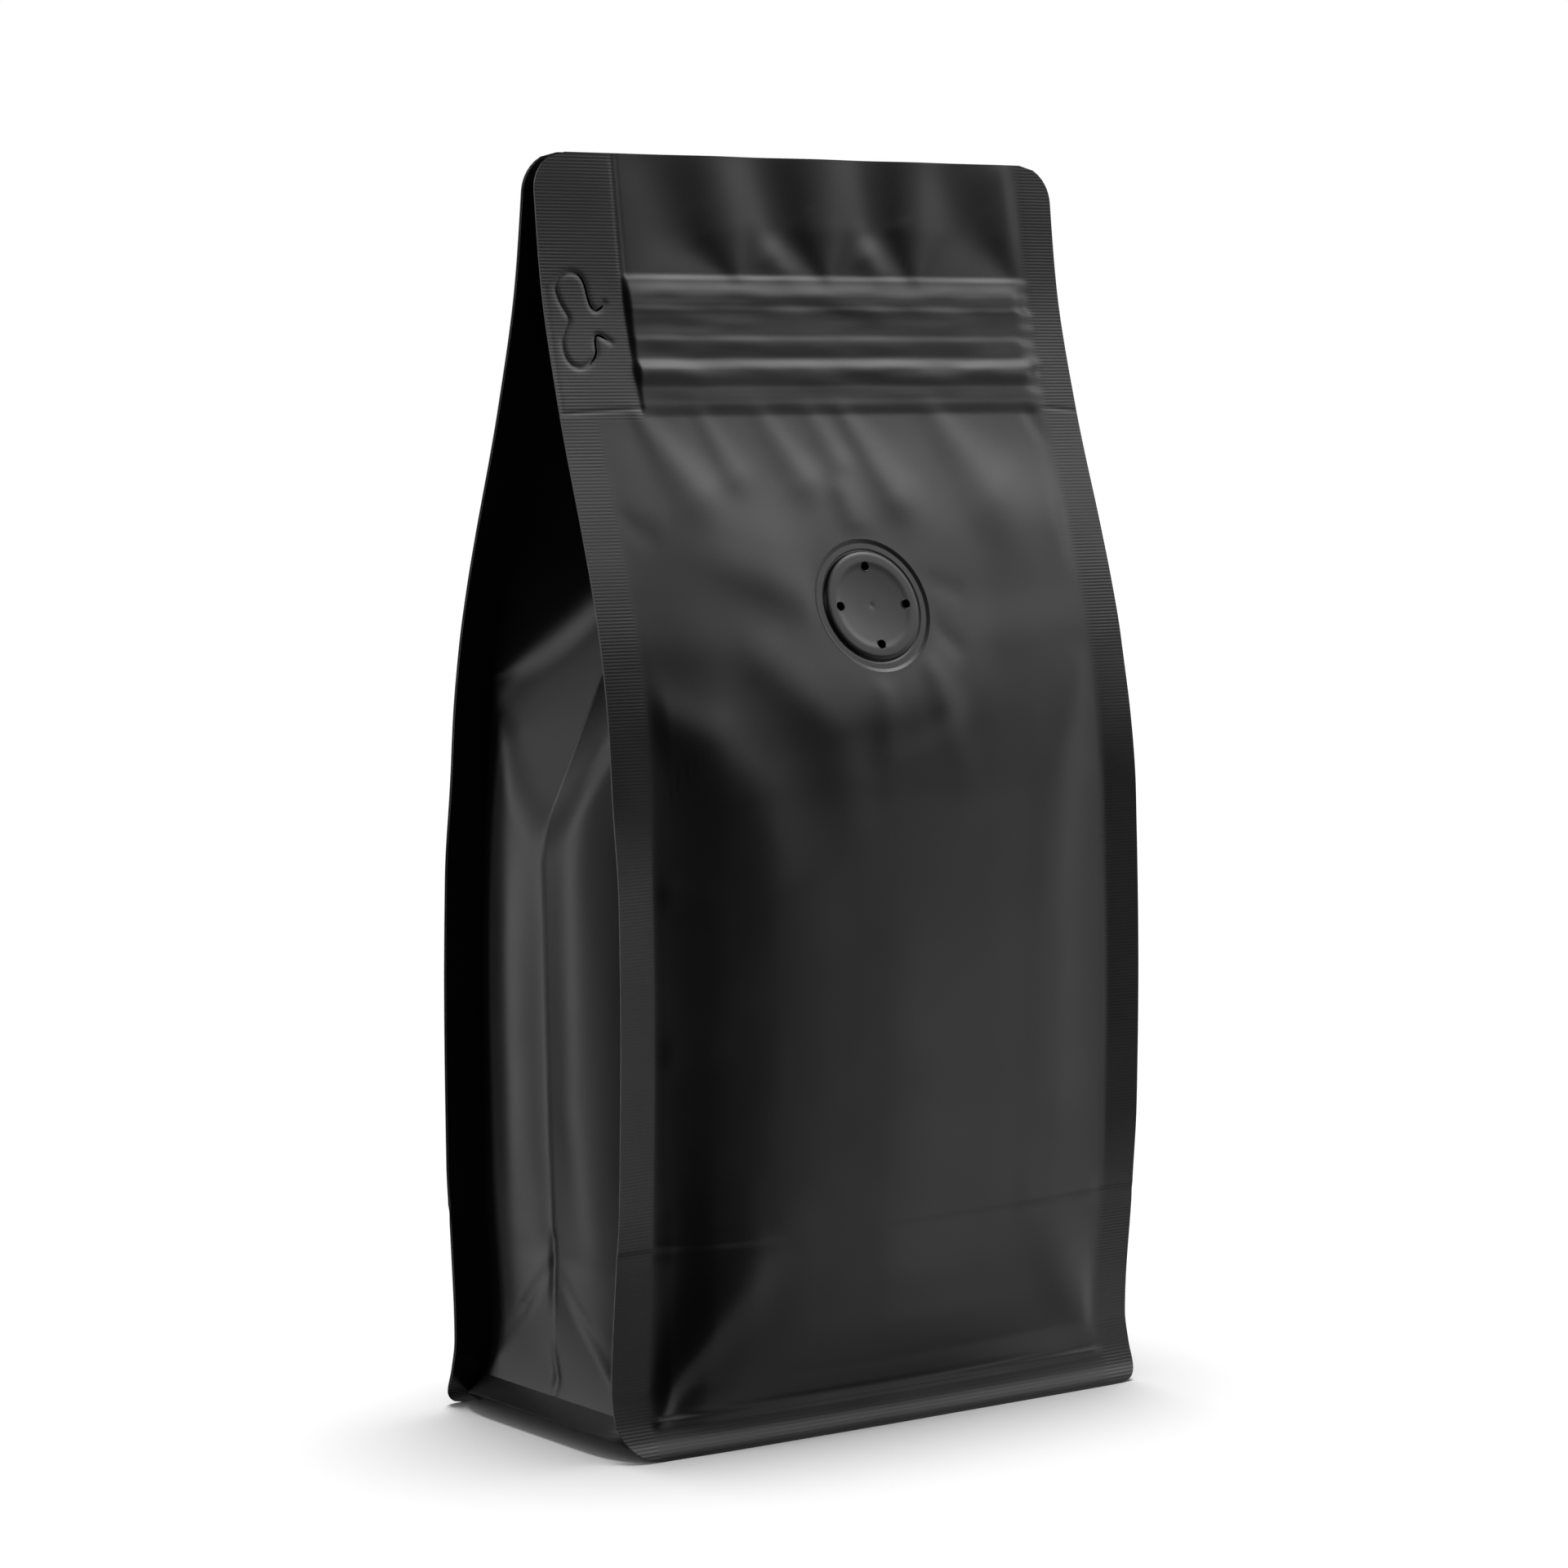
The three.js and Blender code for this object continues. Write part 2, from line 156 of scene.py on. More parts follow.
# The pull tab: points round it, as (distance from the sheet's left edge, height), from one side of its neck
# to the other.
TAB_OUTLINE = [
    (12, 189.5), (11.2, 188.7), (10, 188.3), (9.2, 189.1), (8.8, 190.6), (8.4, 192.6), (7.5, 194),
    (5.8, 194.5), (4, 193.8), (2.8, 192.2), (3, 190.3), (3.8, 188.6), (4.6, 186.8), (3.6, 184.9),
    (2.8, 183.2), (2.9, 180.9), (3.9, 179.4), (5.7, 178.9), (7.7, 179.7), (9, 181.2), (9.2, 183.2),
    (9.6, 184.1), (10.6, 184), (12.2, 183.1),
]
# The slot cut round the tab, and the dent that the die presses along it, as (depth, half width).
TAB_SLOT = 0.4
TAB_DENT = (0.16, 0.55)
# The piece of film that the tab is cut from: left and right, foot and top, and the spacing of its points.
TAB_PATCH_ACROSS = (-53.6, -40.6)
TAB_PATCH_UP = (177.4, 195.6)
TAB_PATCH_STEP = 0.2
# The die runs through the front panel between these places on the Y axis.
TAB_DIE = (-14, -1)

# Level ridges across the foot, as (height, rise, half width): the crease that the folded bottom leaves in the
# film, which is a fine ridge over a shallow dip, and the bead along the bottom seam.
CREASE_RIDGE = (35.4, 0.07, 0.6)
CREASE_DIP = (34.1, -0.1, 1.3)
SEAM_BEAD = (SEAM_HEIGHT, 0.34, 0.65)
# How strong the crease is at its left end and along the middle, what its right end adds, and where they meet.
CREASE_STRENGTHS = (1.6, 0.45, 0.3)
CREASE_LEFT_END = (-36, -22)
CREASE_RIGHT_END = (34, 46)

# The share of the panels' folds that runs on into the side seals, and how far inside those it is back to all.
FOLDS_IN_SEAL = 0.12
FOLDS_GROW = 4


def smooth_curve(stations):
    """A curve through (place, value) stations that never overshoots them, level beyond its ends."""
    place, value = np.array(stations, float).T
    rise = np.diff(value) / np.diff(place)
    slope = np.zeros(len(place))
    turns = rise[:-1] * rise[1:] > 0
    slope[1:-1][turns] = 2 * (rise[:-1] * rise[1:])[turns] / (rise[:-1] + rise[1:])[turns]
    slope[-1] = rise[-1]

    def at(where):
        where = np.clip(where, place[0], place[-1])
        i = np.clip(np.searchsorted(place, where, side="right") - 1, 0, len(place) - 2)
        span = place[i + 1] - place[i]
        t = (where - place[i]) / span
        bend = t * t * (3 - 2 * t)
        lift = slope[i] * t * (1 - t) ** 2 - slope[i + 1] * t * t * (1 - t)
        return value[i] + bend * (value[i + 1] - value[i]) + lift * span

    return at


half_depth = smooth_curve(HALF_DEPTH)
centre_crease = smooth_curve(CENTRE_CREASE)
gusset_swell = smooth_curve(GUSSET_SWELL)
panel_swell = smooth_curve(PANEL_SWELL)
foot_across = smooth_curve(FOOT_ACROSS)
belly_across = smooth_curve(BELLY_ACROSS)
left_lean = smooth_curve(LEFT_LEAN)
right_lean = smooth_curve(RIGHT_LEAN)


def smoothstep(low, high, value):
    t = np.clip((value - low) / (high - low), 0, 1)
    return t * t * (3 - 2 * t)


def lerp(a, b, t):
    return a + (b - a) * t


def half_width(z, side=-1, face=-1):
    """The half width of a big panel, with its corners rounded. The one at the front left is the widest round.

    side is -1 on the left and 1 on the right, and face is -1 for the front and 1 for the back.
    """
    radius = FRONT_LEFT_RADIUS if side < 0 and face < 0 else BASE_CORNER_RADIUS
    straight = lerp(BASE_WIDTH, TOP_WIDTH, z / HEIGHT) / 2
    below = np.minimum(z / radius, 1) - 1
    above = np.minimum((HEIGHT - z) / TOP_CORNER_RADIUS, 1) - 1
    cut_below = radius * (1 - np.sqrt(1 - below ** 2))
    cut_above = TOP_CORNER_RADIUS * (1 - np.sqrt(1 - above ** 2))
    return straight - cut_below - cut_above


def seal_line(z):
    """The half width between the side seals, where the gussets start."""
    return lerp(BASE_WIDTH, TOP_WIDTH, z / HEIGHT) / 2 - SIDE_SEAL


def folds_at(x, z, folds):
    """The relief of soft folds in a panel.

    A fold is a line of stations along its crest: (x, height, reach to its left, reach to its right, rise).
    Right is the side of greater x for a fold whose stations run downwards.
    """
    x, z = np.broadcast_arrays(x, z)
    relief = np.zeros(x.shape)
    for fold in folds:
        nearest = np.full(x.shape, 1e9)
        height = np.zeros(x.shape)
        for (x0, z0, *from_sizes), (x1, z1, *to_sizes) in zip(fold, fold[1:]):
            along_x, along_z = x1 - x0, z1 - z0
            t = np.clip(((x - x0) * along_x + (z - z0) * along_z) / (along_x ** 2 + along_z ** 2), 0, 1)
            across, up = x - (x0 + t * along_x), z - (z0 + t * along_z)
            away = np.hypot(across, up) + 1e-9
            side = 0.5 + 0.5 * (along_x * up - along_z * across) / (away * math.hypot(along_x, along_z))
            left, right, rise = (lerp(a, b, t) for a, b in zip(from_sizes, to_sizes))
            value = rise * np.exp(-((away / lerp(left, right, side)) ** 2))
            height = np.where(away < nearest, value, height)
            nearest = np.minimum(away, nearest)
        relief += height
    return relief


# Soft folds of the front panel above the zip: a wave of crests and hollows that run out at the zip.
MOUTH_FOLDS = [
    [(-19, 214, 6, 7, 0.75), (-16.8, 201.7, 5.5, 5, 0.7), (-15.2, 194.8, 1.4, 1.4, 0.16)],
    [(2.5, 214, 6, 7, 0.75), (3.2, 202, 5, 5, 0.7), (3.6, 194.7, 1.4, 1.4, 0.18)],
    [(23.4, 214, 5, 7, 0.7), (22.9, 202.3, 4.5, 5, 0.65), (22.6, 194.7, 1.4, 1.4, 0.18)],
    [(43, 212, 5, 3, 0.35), (45.4, 202, 5, 2, 0.4), (46.3, 195, 2, 1, 0.14)],
    [(-31, 212, 6, 6, -0.45), (-27.5, 201.6, 6, 6, -0.5), (-18, 195.3, 3, 1.2, -0.1)],
    [(-8.6, 214, 6, 6, -0.6), (-5.6, 202, 4.5, 5, -0.6), (1.2, 195.3, 3, 1.2, -0.12)],
    [(14, 214, 5, 6, -0.6), (15.4, 202.2, 4.5, 4.5, -0.6), (20.4, 195.3, 3, 1.2, -0.12)],
    [(31, 211, 6, 6, -0.4), (35, 202.5, 6, 6, -0.45), (43.5, 195.6, 3, 1.2, -0.1)],
    [(-9.6, 201, 2.4, 2.4, 0.1), (-8, 198, 2.8, 3, 0.34), (-5.4, 195.4, 2, 2.4, 0.16)],
    [(11.4, 201.2, 2.4, 2.4, 0.1), (12.6, 198, 2.8, 3, 0.34), (14.6, 195.4, 2, 2.4, 0.16)],
]
# Dents under the zip, where the sheet starts to fill out.
SHOULDER_FOLDS = [
    [(-39.5, 171, 1.5, 1.8, 0.16), (-31, 158, 5, 4.5, 0.62)],
    [(-27, 171, 1.4, 1.6, 0.14), (-22.5, 161, 3, 3, 0.34)],
    [(-14.5, 171, 2.4, 1.6, 0.16), (-8.5, 160, 4, 3, 0.4)],
    [(-4.2, 171, 2.2, 1.6, 0.14), (-0.5, 163, 3, 2.6, 0.3)],
    [(2.6, 171, 1.4, 1.8, 0.16), (10, 157, 3.6, 5, 0.6)],
    [(22, 171, 3, 2, 0.18), (31, 157, 7, 6, 0.8)],
    [(-1.5, 158, 2.2, 2.6, 0.3), (0, 152, 2.4, 3, 0.22)],
    [(43.5, 170.6, 1.2, 1.2, -0.18), (46.3, 166, 1.4, 1.4, -0.2)],
    [(-47, 154, 1.8, 1.8, -0.2), (-42, 151.5, 2, 2, -0.12)],
    [(-38, 152, 6, 8, 0.25), (-20, 146.5, 6, 8, 0.65)],
    [(24, 149, 8, 9, 0.5), (42, 153, 8, 9, 0.6)],
]
# The belly: the ridge from the left shoulder with its dark facet, the folds under the valve, the right flank.
BELLY_FOLDS = [
    [(-47.5, 124, 3, 4, 0.4), (-37.2, 117.4, 7, 6, 1.1), (-30, 107.4, 9, 7, 1.1), (-22.8, 94, 11, 9, 0.35)],
    [(-24, 130, 4, 5, 0.5), (-12, 117, 5, 5, 0.62), (-9, 100, 6, 6, 0.12)],
    [(-32, 147.5, 3, 3, 0.05), (-16, 141, 3.5, 4, 0.3)],
    [(8, 130, 1.4, 2.2, 0.26), (12, 122.5, 3, 3.4, 0.2)],
    [(-2, 126, 1.6, 2.4, 0.2), (-1.5, 109, 3.5, 3.5, 0.1)],
    [(11, 121, 2.6, 3, 0.2), (16, 107, 4, 4, 0.1)],
    [(13, 142.5, 1, 1.4, -0.12), (18.5, 140.6, 1.4, 1.6, -0.12)],
    [(12, 135.4, 1.2, 1.2, -0.15), (16, 131.5, 1.8, 1.8, -0.18)],
    [(44, 127, 3, 2, 0.15), (36.5, 106, 5, 5, 0.3), (33.5, 88, 5.5, 5.5, 0.32), (32.5, 50, 5.5, 6, 0.32),
     (30.4, 37, 5, 6, 0.2)],
    [(-45, 93.5, 2.2, 2.2, 0.3), (-39, 93, 2.6, 2.6, 0.16)],
    [(-45, 67.5, 2.6, 2.6, 0.3), (-39, 67.5, 3, 3, 0.16)],
]
# The foot: pinched corners and facets about the cross crease.
FOOT_FOLDS = [
    [(-46.8, 7.4, 1.6, 1.8, 0.7), (-40.4, 18, 3.4, 4.2, 1.2), (-33.6, 26.4, 5, 5.5, 0.85),
     (-27.5, 36.5, 7, 6, 0.2)],
    [(-48, 35.3, 2, 1.4, 0.2), (-36, 35.4, 3.4, 1.8, 0.26), (-27, 35.2, 3, 1.6, 0.05)],
    [(-47.6, 38, 1.4, 1.4, 0.1), (-33, 41, 4, 4, 0.16)],
    [(30.4, 36, 5, 7, 0.3), (36.8, 22.9, 5, 7, 0.5), (43, 14, 3.8, 4.6, 0.4), (47.4, 8.4, 2, 2, 0.3)],
    [(30, 36.5, 2, 2, 0.05), (47.5, 35.6, 3, 2, 0.22)],
]
FRONT_FOLDS = MOUTH_FOLDS + SHOULDER_FOLDS + BELLY_FOLDS + FOOT_FOLDS

# Soft folds of the back panel, by the same x as the front.
BACK_FOLDS = [
    [(-20, 214, 8, 8, 0.8), (-15, 203, 6, 5, 0.6), (-13, 195, 1.4, 1.4, 0.1)],
    [(4, 214, 8, 8, 0.8), (4, 203, 5, 6, 0.6), (4.4, 195, 1.4, 1.4, 0.1)],
    [(26, 214, 6, 8, 0.8), (23, 203, 5, 6, 0.6), (21.5, 195, 1.4, 1.4, 0.1)],
    [(-34, 171, 1.5, 1.5, 0.12), (-25, 157, 5, 4.5, 0.45)],
    [(-10, 171, 1.5, 1.5, 0.12), (-7, 160, 3, 3, 0.3)],
    [(13, 171, 1.5, 1.5, 0.12), (9, 158, 3.5, 4, 0.35)],
    [(36, 171, 1.5, 1.5, 0.12), (27, 156, 5, 5, 0.5)],
    [(47.5, 128, 3, 3, 0.3), (35, 118, 6, 9, 0.7), (27, 106, 7, 9, 0.6), (22, 94, 9, 10, 0.2)],
    [(-44, 128, 2, 3, 0.2), (-35, 104, 6, 6, 0.4), (-33, 60, 6, 6, 0.3)],
    [(-46.8, 7.2, 1.2, 1.2, 0.5), (-39.8, 18.3, 4, 4, 0.6), (-31, 32, 6, 6, 0.2)],
    [(46.8, 7.2, 1.2, 1.2, 0.5), (39, 19, 4, 4, 0.6), (30, 33, 6, 6, 0.2)],
]

# Folds of the side gussets, as (distance to the back, height, reach to the front, reach to the back, rise).
GUSSET_FOLDS = [
    [(1.4, 112, 1, 4, 0), (1.4, 96, 1.1, 4, -0.25), (1.4, 50, 1.1, 4, -0.32), (0.8, 33, 1, 3, -0.25)],
    [(0, 29.5, 1, 1, -0.1), (9, 20, 1.3, 1.3, -0.4), (17, 12, 1.5, 1.5, -0.25)],
    [(0, 29.5, 1, 1, -0.05), (-9, 21, 1.2, 1.2, -0.25), (-17, 13.5, 1.4, 1.4, -0.1)],
    [(0, 33, 0.9, 0.9, -0.3), (0.1, 27, 0.9, 0.9, -0.25), (0.3, 20, 1, 1, -0.05)],
    [(0.6, 14, 0.8, 0.8, -0.1), (-0.6, 9, 0.8, 0.8, -0.3), (0.8, 6.6, 0.8, 0.8, -0.15)],
    [(14, 116, 3, 3, 0.1), (12, 90, 5, 5, 0.5), (12, 50, 5, 5, 0.5), (13, 30, 5, 5, 0.3),
     (13, 20, 4, 4, 0.1)],
    [(-13, 118, 4, 4, 0.2), (-9, 96, 5, 5, 0.35), (-8, 55, 5, 5, 0.35), (-12, 32, 4, 4, 0.1)],
]

# Fine level and upright grooves pressed by the sealing bars, as (start, end, half width, rise).
SEAL_GROOVES = [
    ((-38.9, 213.8), (-38.4, 171.6), 0.32, -0.1),
    ((-37.9, 213.8), (-37.5, 193.8), 0.28, -0.06),
    ((-54, 171.4), (-38.2, 172.2), 0.35, -0.08),
    ((47.6, 212), (47.8, 173), 0.35, -0.06),
    ((47, 171.8), (54, 171.2), 0.35, -0.08),
    ((-53.7, 192), (-53.9, 172), 0.3, -0.05),
]


def level_ridge(z, height, rise, spread):
    return rise * np.exp(-(((z - height) / spread) ** 2))


def crease_at(x, z):
    """The crease across the foot, and the bead along the bottom seam, which ends at the side seals."""
    left, middle, right = CREASE_STRENGTHS
    strength = lerp(left, middle, smoothstep(*CREASE_LEFT_END, x)) + right * smoothstep(*CREASE_RIGHT_END, x)
    crease = level_ridge(z, *CREASE_RIDGE) + level_ridge(z, *CREASE_DIP)
    between_seals = smoothstep(0, 2, seal_line(z) + 0.5 - np.abs(x))
    return crease * strength + level_ridge(z, *SEAM_BEAD) * between_seals


def tab_curve(steps=10):
    """A smooth line through the tab's outline, open at its neck."""
    points = np.array(TAB_OUTLINE, float)
    points = np.concatenate([2 * points[:1] - points[1:2], points, 2 * points[-1:] - points[-2:-1]])
    line = []
    for a, b, c, d in zip(points, points[1:], points[2:], points[3:]):
        for t in np.arange(steps) / steps:
            bend = (2 * a - 5 * b + 4 * c - d) * t ** 2 + (3 * b - a - 3 * c + d) * t ** 3
            line.append(0.5 * (2 * b + (c - a) * t + bend))
    line.append(points[-2])
    line = np.array(line)
    return np.stack([line[:, 0] - half_width(line[:, 1]), line[:, 1]], axis=1)


def line_distance(x, z, line):
    """The distance to a fine line of (x, z) points, worked out only near it."""
    away = np.full(np.broadcast(x, z).shape, 99.0)
    x, z = np.broadcast_to(x, away.shape), np.broadcast_to(z, away.shape)
    low, high = line.min(axis=0) - 3, line.max(axis=0) + 3
    near = (x > low[0]) & (x < high[0]) & (z > low[1]) & (z < high[1])
    if near.any():
        gap = np.hypot(x[near][:, None] - line[None, :, 0], z[near][:, None] - line[None, :, 1])
        away[near] = gap.min(axis=1)
    return away


def lean_at(x, z):
    """How far the fins stand out from the seals' depth."""
    beyond = np.maximum(np.abs(x) - seal_line(z), 0)
    return beyond * np.where(x < 0, left_lean(z), right_lean(z))


def panel_depth(x, z, across):
    """Where the outer face of a big panel is, as a distance from the middle plane, before its folds."""
    share = np.clip(x / seal_line(z), -1, 1)
    return half_depth(z) + lean_at(x, z) + panel_swell(z) * across(share, z)


def back_across(share, z):
    return 1 - np.abs(share) ** BACK_FLATNESS


def front_across(share, z):
    return lerp(foot_across(share), belly_across(share), smoothstep(*FOOT_TO_BELLY, z))


def relief_at(x, z, folds):
    """The folds of a big panel, which fade into its side seals, and the creases across its foot."""
    inside = smoothstep(0, FOLDS_GROW, seal_line(z) - np.abs(x))
    return folds_at(x, z, folds) * lerp(FOLDS_IN_SEAL, 1, inside) + crease_at(x, z)


def front_depth(x, z):
    """The front panel with its relief, its seal's grooves and the tab's dent, held flat around the valve."""
    away = np.hypot(x, z - VALVE_HEIGHT)
    relief = relief_at(x, z, FRONT_FOLDS) * smoothstep(VALVE_RADIUS, VALVE_RADIUS + 2, away)
    grooves = [[(*end, wide, wide, rise) for end in ends] for *ends, wide, rise in SEAL_GROOVES]
    depth, spread = TAB_DENT
    dent = depth * np.exp(-((line_distance(x, z, tab_curve()) / spread) ** 2))
    flat = 1 - smoothstep(VALVE_FLAT, VALVE_BLEND, away)
    plane = valve_depth + valve_slope * (z - VALVE_HEIGHT)
    return lerp(panel_depth(x, z, front_across), plane, flat) + relief + folds_at(x, z, grooves) - dent


def back_depth(x, z):
    return panel_depth(x, z, back_across) + relief_at(x, z, BACK_FOLDS)


# The place of the valve's plane, and its slope between one millimetre under the valve's centre and one above.
under_valve, valve_depth, over_valve = (
    float(panel_depth(0, VALVE_HEIGHT + step, front_across)) for step in (-1, 0, 1))
valve_slope = (over_valve - under_valve) / 2


def soft_greatest(a, b, softness):
    """The greater of two surfaces, with their valley rounded."""
    near = np.clip(softness - np.abs(a - b), 0, None) / np.maximum(softness, 1e-6)
    return np.maximum(a, b) + near ** 2 * softness / 4


def wall_reach(v, z):
    """How far out the gusset wall is at v, from -1 at the front seal to 1 at the back seal, above the seam.

    Low down the wall stands out from its centre crease to the seals. High up it is folded in between the
    panels, and the facets of the tuck lead from the one to the other.
    """
    seal = seal_line(z)
    depth = half_depth(z) - 2 * FILM
    share = np.abs(v)
    swell = gusset_swell(z) * np.sin(math.pi * share)
    pleat = PLEAT_SPREAD * np.clip(PLEAT_HEIGHT - z, 0, None) / depth
    beside_pleat = np.clip((share - pleat) / np.maximum(1 - pleat, 1e-6), 0, 1)
    standing = lerp(centre_crease(z), seal, beside_pleat) + swell
    tuck = centre_crease(TUCK_HEIGHT) + TUCK_RISE * share * depth - TUCK_FALL * (z - TUCK_HEIGHT)
    fold = seal - np.sqrt(np.clip(GUSSET_FILM ** 2 - depth ** 2, 0, None))
    folded_in = lerp(fold, seal, share) + swell * smoothstep(*FOLDED_SWELL, z)
    softness = FOLD_SOFTNESS * (1 - share ** 4)
    under_tuck = -soft_greatest(-standing, -tuck, softness)
    reach = soft_greatest(under_tuck, folded_in, softness)
    return reach + folds_at(v * depth, z, GUSSET_FOLDS) * smoothstep(0, 0.05, 1 - share)


def rows_of(*bands):
    """Places from (start, end, spacing) bands that follow each other."""
    places = [np.linspace(a, b, max(1, round((b - a) / step)), endpoint=False) for a, b, step in bands]
    return np.append(np.concatenate(places), bands[-1][1])


# The rows of the big panels and the gussets, closest at the foot, the cross crease and the zip.
PANEL_ROWS = rows_of(
    (0, 12, 0.4), (12, 32, 1.3), (32, 39, 0.45), (39, 155, 1.4), (155, 170, 0.9), (170, 196, 0.22),
    (196, HEIGHT, 0.8),
)
GUSSET_ROWS = rows_of((0, SEAM_HEIGHT, 0.6), (SEAM_HEIGHT, 40, 1), (40, 100, 1.5), (100, HEIGHT, 1.1))
# The columns of a big panel are this share of the way to a side seal apart, about a millimetre. From its left
# edge to FINE_TO they are closer: by FINE_STEP in the front, for its tab, and by PLAIN_STEP in the back.
COLUMN = 1 / 47.5
FINE_TO = -0.78
FINE_STEP = 0.3
PLAIN_STEP = 0.9
# The least width of a fin, where the panel's round corners cut into it.
LEAST_FIN = 0.2


def panel_grid(depth_at, face):
    """The outer face of a big panel as a grid of points. face is -1 for the front and 1 for the back.

    Columns follow the side seals.
    """
    z = PANEL_ROWS[:, None]
    wide_left, wide_right = half_width(z, -1, face), half_width(z, 1, face)
    seal_left = np.minimum(seal_line(z), wide_left - LEAST_FIN)
    seal_right = np.minimum(seal_line(z), wide_right - LEAST_FIN)
    step = FINE_STEP if face < 0 else PLAIN_STEP
    left = -lerp(seal_left, wide_left, np.linspace(1, 0, round(SIDE_SEAL / step), endpoint=False)[None, :])
    right = lerp(seal_right, wide_right, np.linspace(0, 1, 9)[None, 1:])
    inner = rows_of((-1, FINE_TO, step * COLUMN), (FINE_TO, 1, COLUMN))[None, :]
    x = np.concatenate([left, np.where(inner < 0, inner * seal_left, inner * seal_right), right], axis=1)
    z = np.broadcast_to(z, x.shape)
    return np.stack([x, face * depth_at(x, z), z], axis=-1)


def mesh_from(name, points, faces):
    """An object whose mesh has these points, given in millimetres, and these faces."""
    mesh = bpy.data.meshes.new(name)
    points = [tuple(point) for point in np.asarray(points) * MM]
    mesh.from_pydata(points, [], [tuple(int(corner) for corner in face) for face in faces])
    mesh.update()
    piece = bpy.data.objects.new(name, mesh)
    bpy.context.scene.collection.objects.link(piece)
    return piece


def grid_faces(rows, columns, flip):
    corner = (np.arange(rows - 1)[:, None] * columns + np.arange(columns - 1)[None, :]).ravel()
    quads = np.stack([corner, corner + 1, corner + columns + 1, corner + columns], axis=1)
    return quads[:, ::-1] if flip else quads


def sheet(name, grid, flip=False):
    """An open sheet through a grid of points, row by row."""
    rows, columns = grid.shape[:2]
    return mesh_from(name, grid.reshape(-1, 3), grid_faces(rows, columns, flip))


def give(mesh, name, values):
    """Stores one number for each point, for the materials to read."""
    attribute = mesh.attributes.new(name, "FLOAT", "POINT")
    attribute.data.foreach_set("value", np.ascontiguousarray(values, np.float32).ravel())


def applied(piece):
    """The piece with its modifiers turned into plain mesh."""
    bpy.context.view_layer.update()
    graph = bpy.context.evaluated_depsgraph_get()
    mesh = bpy.data.meshes.new_from_object(piece.evaluated_get(graph), depsgraph=graph)
    piece.modifiers.clear()
    old = piece.data
    piece.data = mesh
    bpy.data.meshes.remove(old)
    mesh.name = piece.name
    return piece


def thicken(piece, even=True):
    """Gives a sheet the thickness of the film, inwards. Its cut edges take a second material."""
    piece.data.materials.append(EDGE)
    solid = piece.modifiers.new("film", "SOLIDIFY")
    solid.thickness = FILM * MM
    solid.offset = -1
    solid.use_quality_normals = even
    solid.material_offset_rim = 1
    return applied(piece)


# Materials.


def linear(code):
    """A linear colour from an sRGB hex value."""
    parts = [int(code[i:i + 2], 16) / 255 for i in (1, 3, 5)]
    return [p / 12.92 if p <= 0.04045 else ((p + 0.055) / 1.055) ** 2.4 for p in parts] + [1]


def node(tree, kind, links=None, **settings):
    """Adds a node with its settings, and its inputs as values or as links from other nodes' outputs."""
    made = tree.nodes.new(kind)
    for name, value in settings.items():
        setattr(made, name, value)
    for socket, value in (links or {}).items():
        if isinstance(value, bpy.types.NodeSocket):
            tree.links.new(value, made.inputs[socket])
        else:
            made.inputs[socket].default_value = value
    return made


def reckon(tree, operation, *values):
    """The result of a sum of these values or outputs."""
    return node(tree, "ShaderNodeMath", dict(enumerate(values)), operation=operation).outputs[0]


def noise(tree, place, size, detail):
    """A noise from 0 to 1, whose largest waves are about this many millimetres long."""
    return node(tree, "ShaderNodeTexNoise", {
        "Vector": place, "Scale": 1 / (size * MM), "Detail": detail}).outputs[0]


def blank_material(name):
    material = bpy.data.materials.new(name)
    material.use_nodes = True
    material.node_tree.nodes.clear()
    return material, material.node_tree


def matt_laminate(name, base, rub, roughness, line_depth):
    """Matt BOPP film laminated over a plain black ground: a deep neutral black with a soft, broad sheen.

    The heat seal presses fine level lines into it, 0.55 mm apart and patchy over 9 mm, where the seal
    attribute is 1. The film drapes in waves of 16 mm, and handling leaves faint lighter rubs of 28 mm. Its
    own grain is far finer than a pixel, so it is drawn at 0.5 mm, very shallow.
    """
    material, tree = blank_material(name)
    place = node(tree, "ShaderNodeTexCoord").outputs["Object"]
    seal = node(tree, "ShaderNodeAttribute", attribute_name="seal").outputs["Fac"]
    height = node(tree, "ShaderNodeSeparateXYZ", {0: place}).outputs["Z"]
    lines = reckon(tree, "SINE", reckon(tree, "MULTIPLY", height, 2 * math.pi / (0.55 * MM)))
    press = reckon(tree, "MULTIPLY", noise(tree, place, 9, 1.0), seal)
    pressed = reckon(tree, "MULTIPLY", lines, press)
    slow = node(tree, "ShaderNodeBump", {
        "Height": noise(tree, place, 16, 1.0), "Distance": 0.16 * MM, "Strength": 1.0})
    fine = node(tree, "ShaderNodeBump", {
        "Height": noise(tree, place, 0.5, 2.0), "Distance": 0.006 * MM, "Strength": 1.0,
        "Normal": slow.outputs[0]})
    embossed = node(tree, "ShaderNodeBump", {
        "Height": pressed, "Distance": line_depth * MM, "Strength": 1.0, "Normal": fine.outputs[0]})
    cloud = noise(tree, place, 28, 3.0)
    worn = node(tree, "ShaderNodeMapRange", {0: cloud, 1: 0.35, 2: 0.75, 3: 0.0, 4: 1.0})
    colour = node(tree, "ShaderNodeMix", {
        0: worn.outputs[0], 6: linear(base), 7: linear(rub)}, data_type="RGBA")
    rough = node(tree, "ShaderNodeMapRange", {
        0: cloud, 1: 0.3, 2: 0.7, 3: roughness - 0.03, 4: roughness + 0.03})
    film = node(tree, "ShaderNodeBsdfPrincipled", {
        "Base Color": colour.outputs[2], "Roughness": rough.outputs[0], "Normal": embossed.outputs[0],
        "IOR": 1.5})
    node(tree, "ShaderNodeOutputMaterial", {"Surface": film.outputs[0]})
    return material


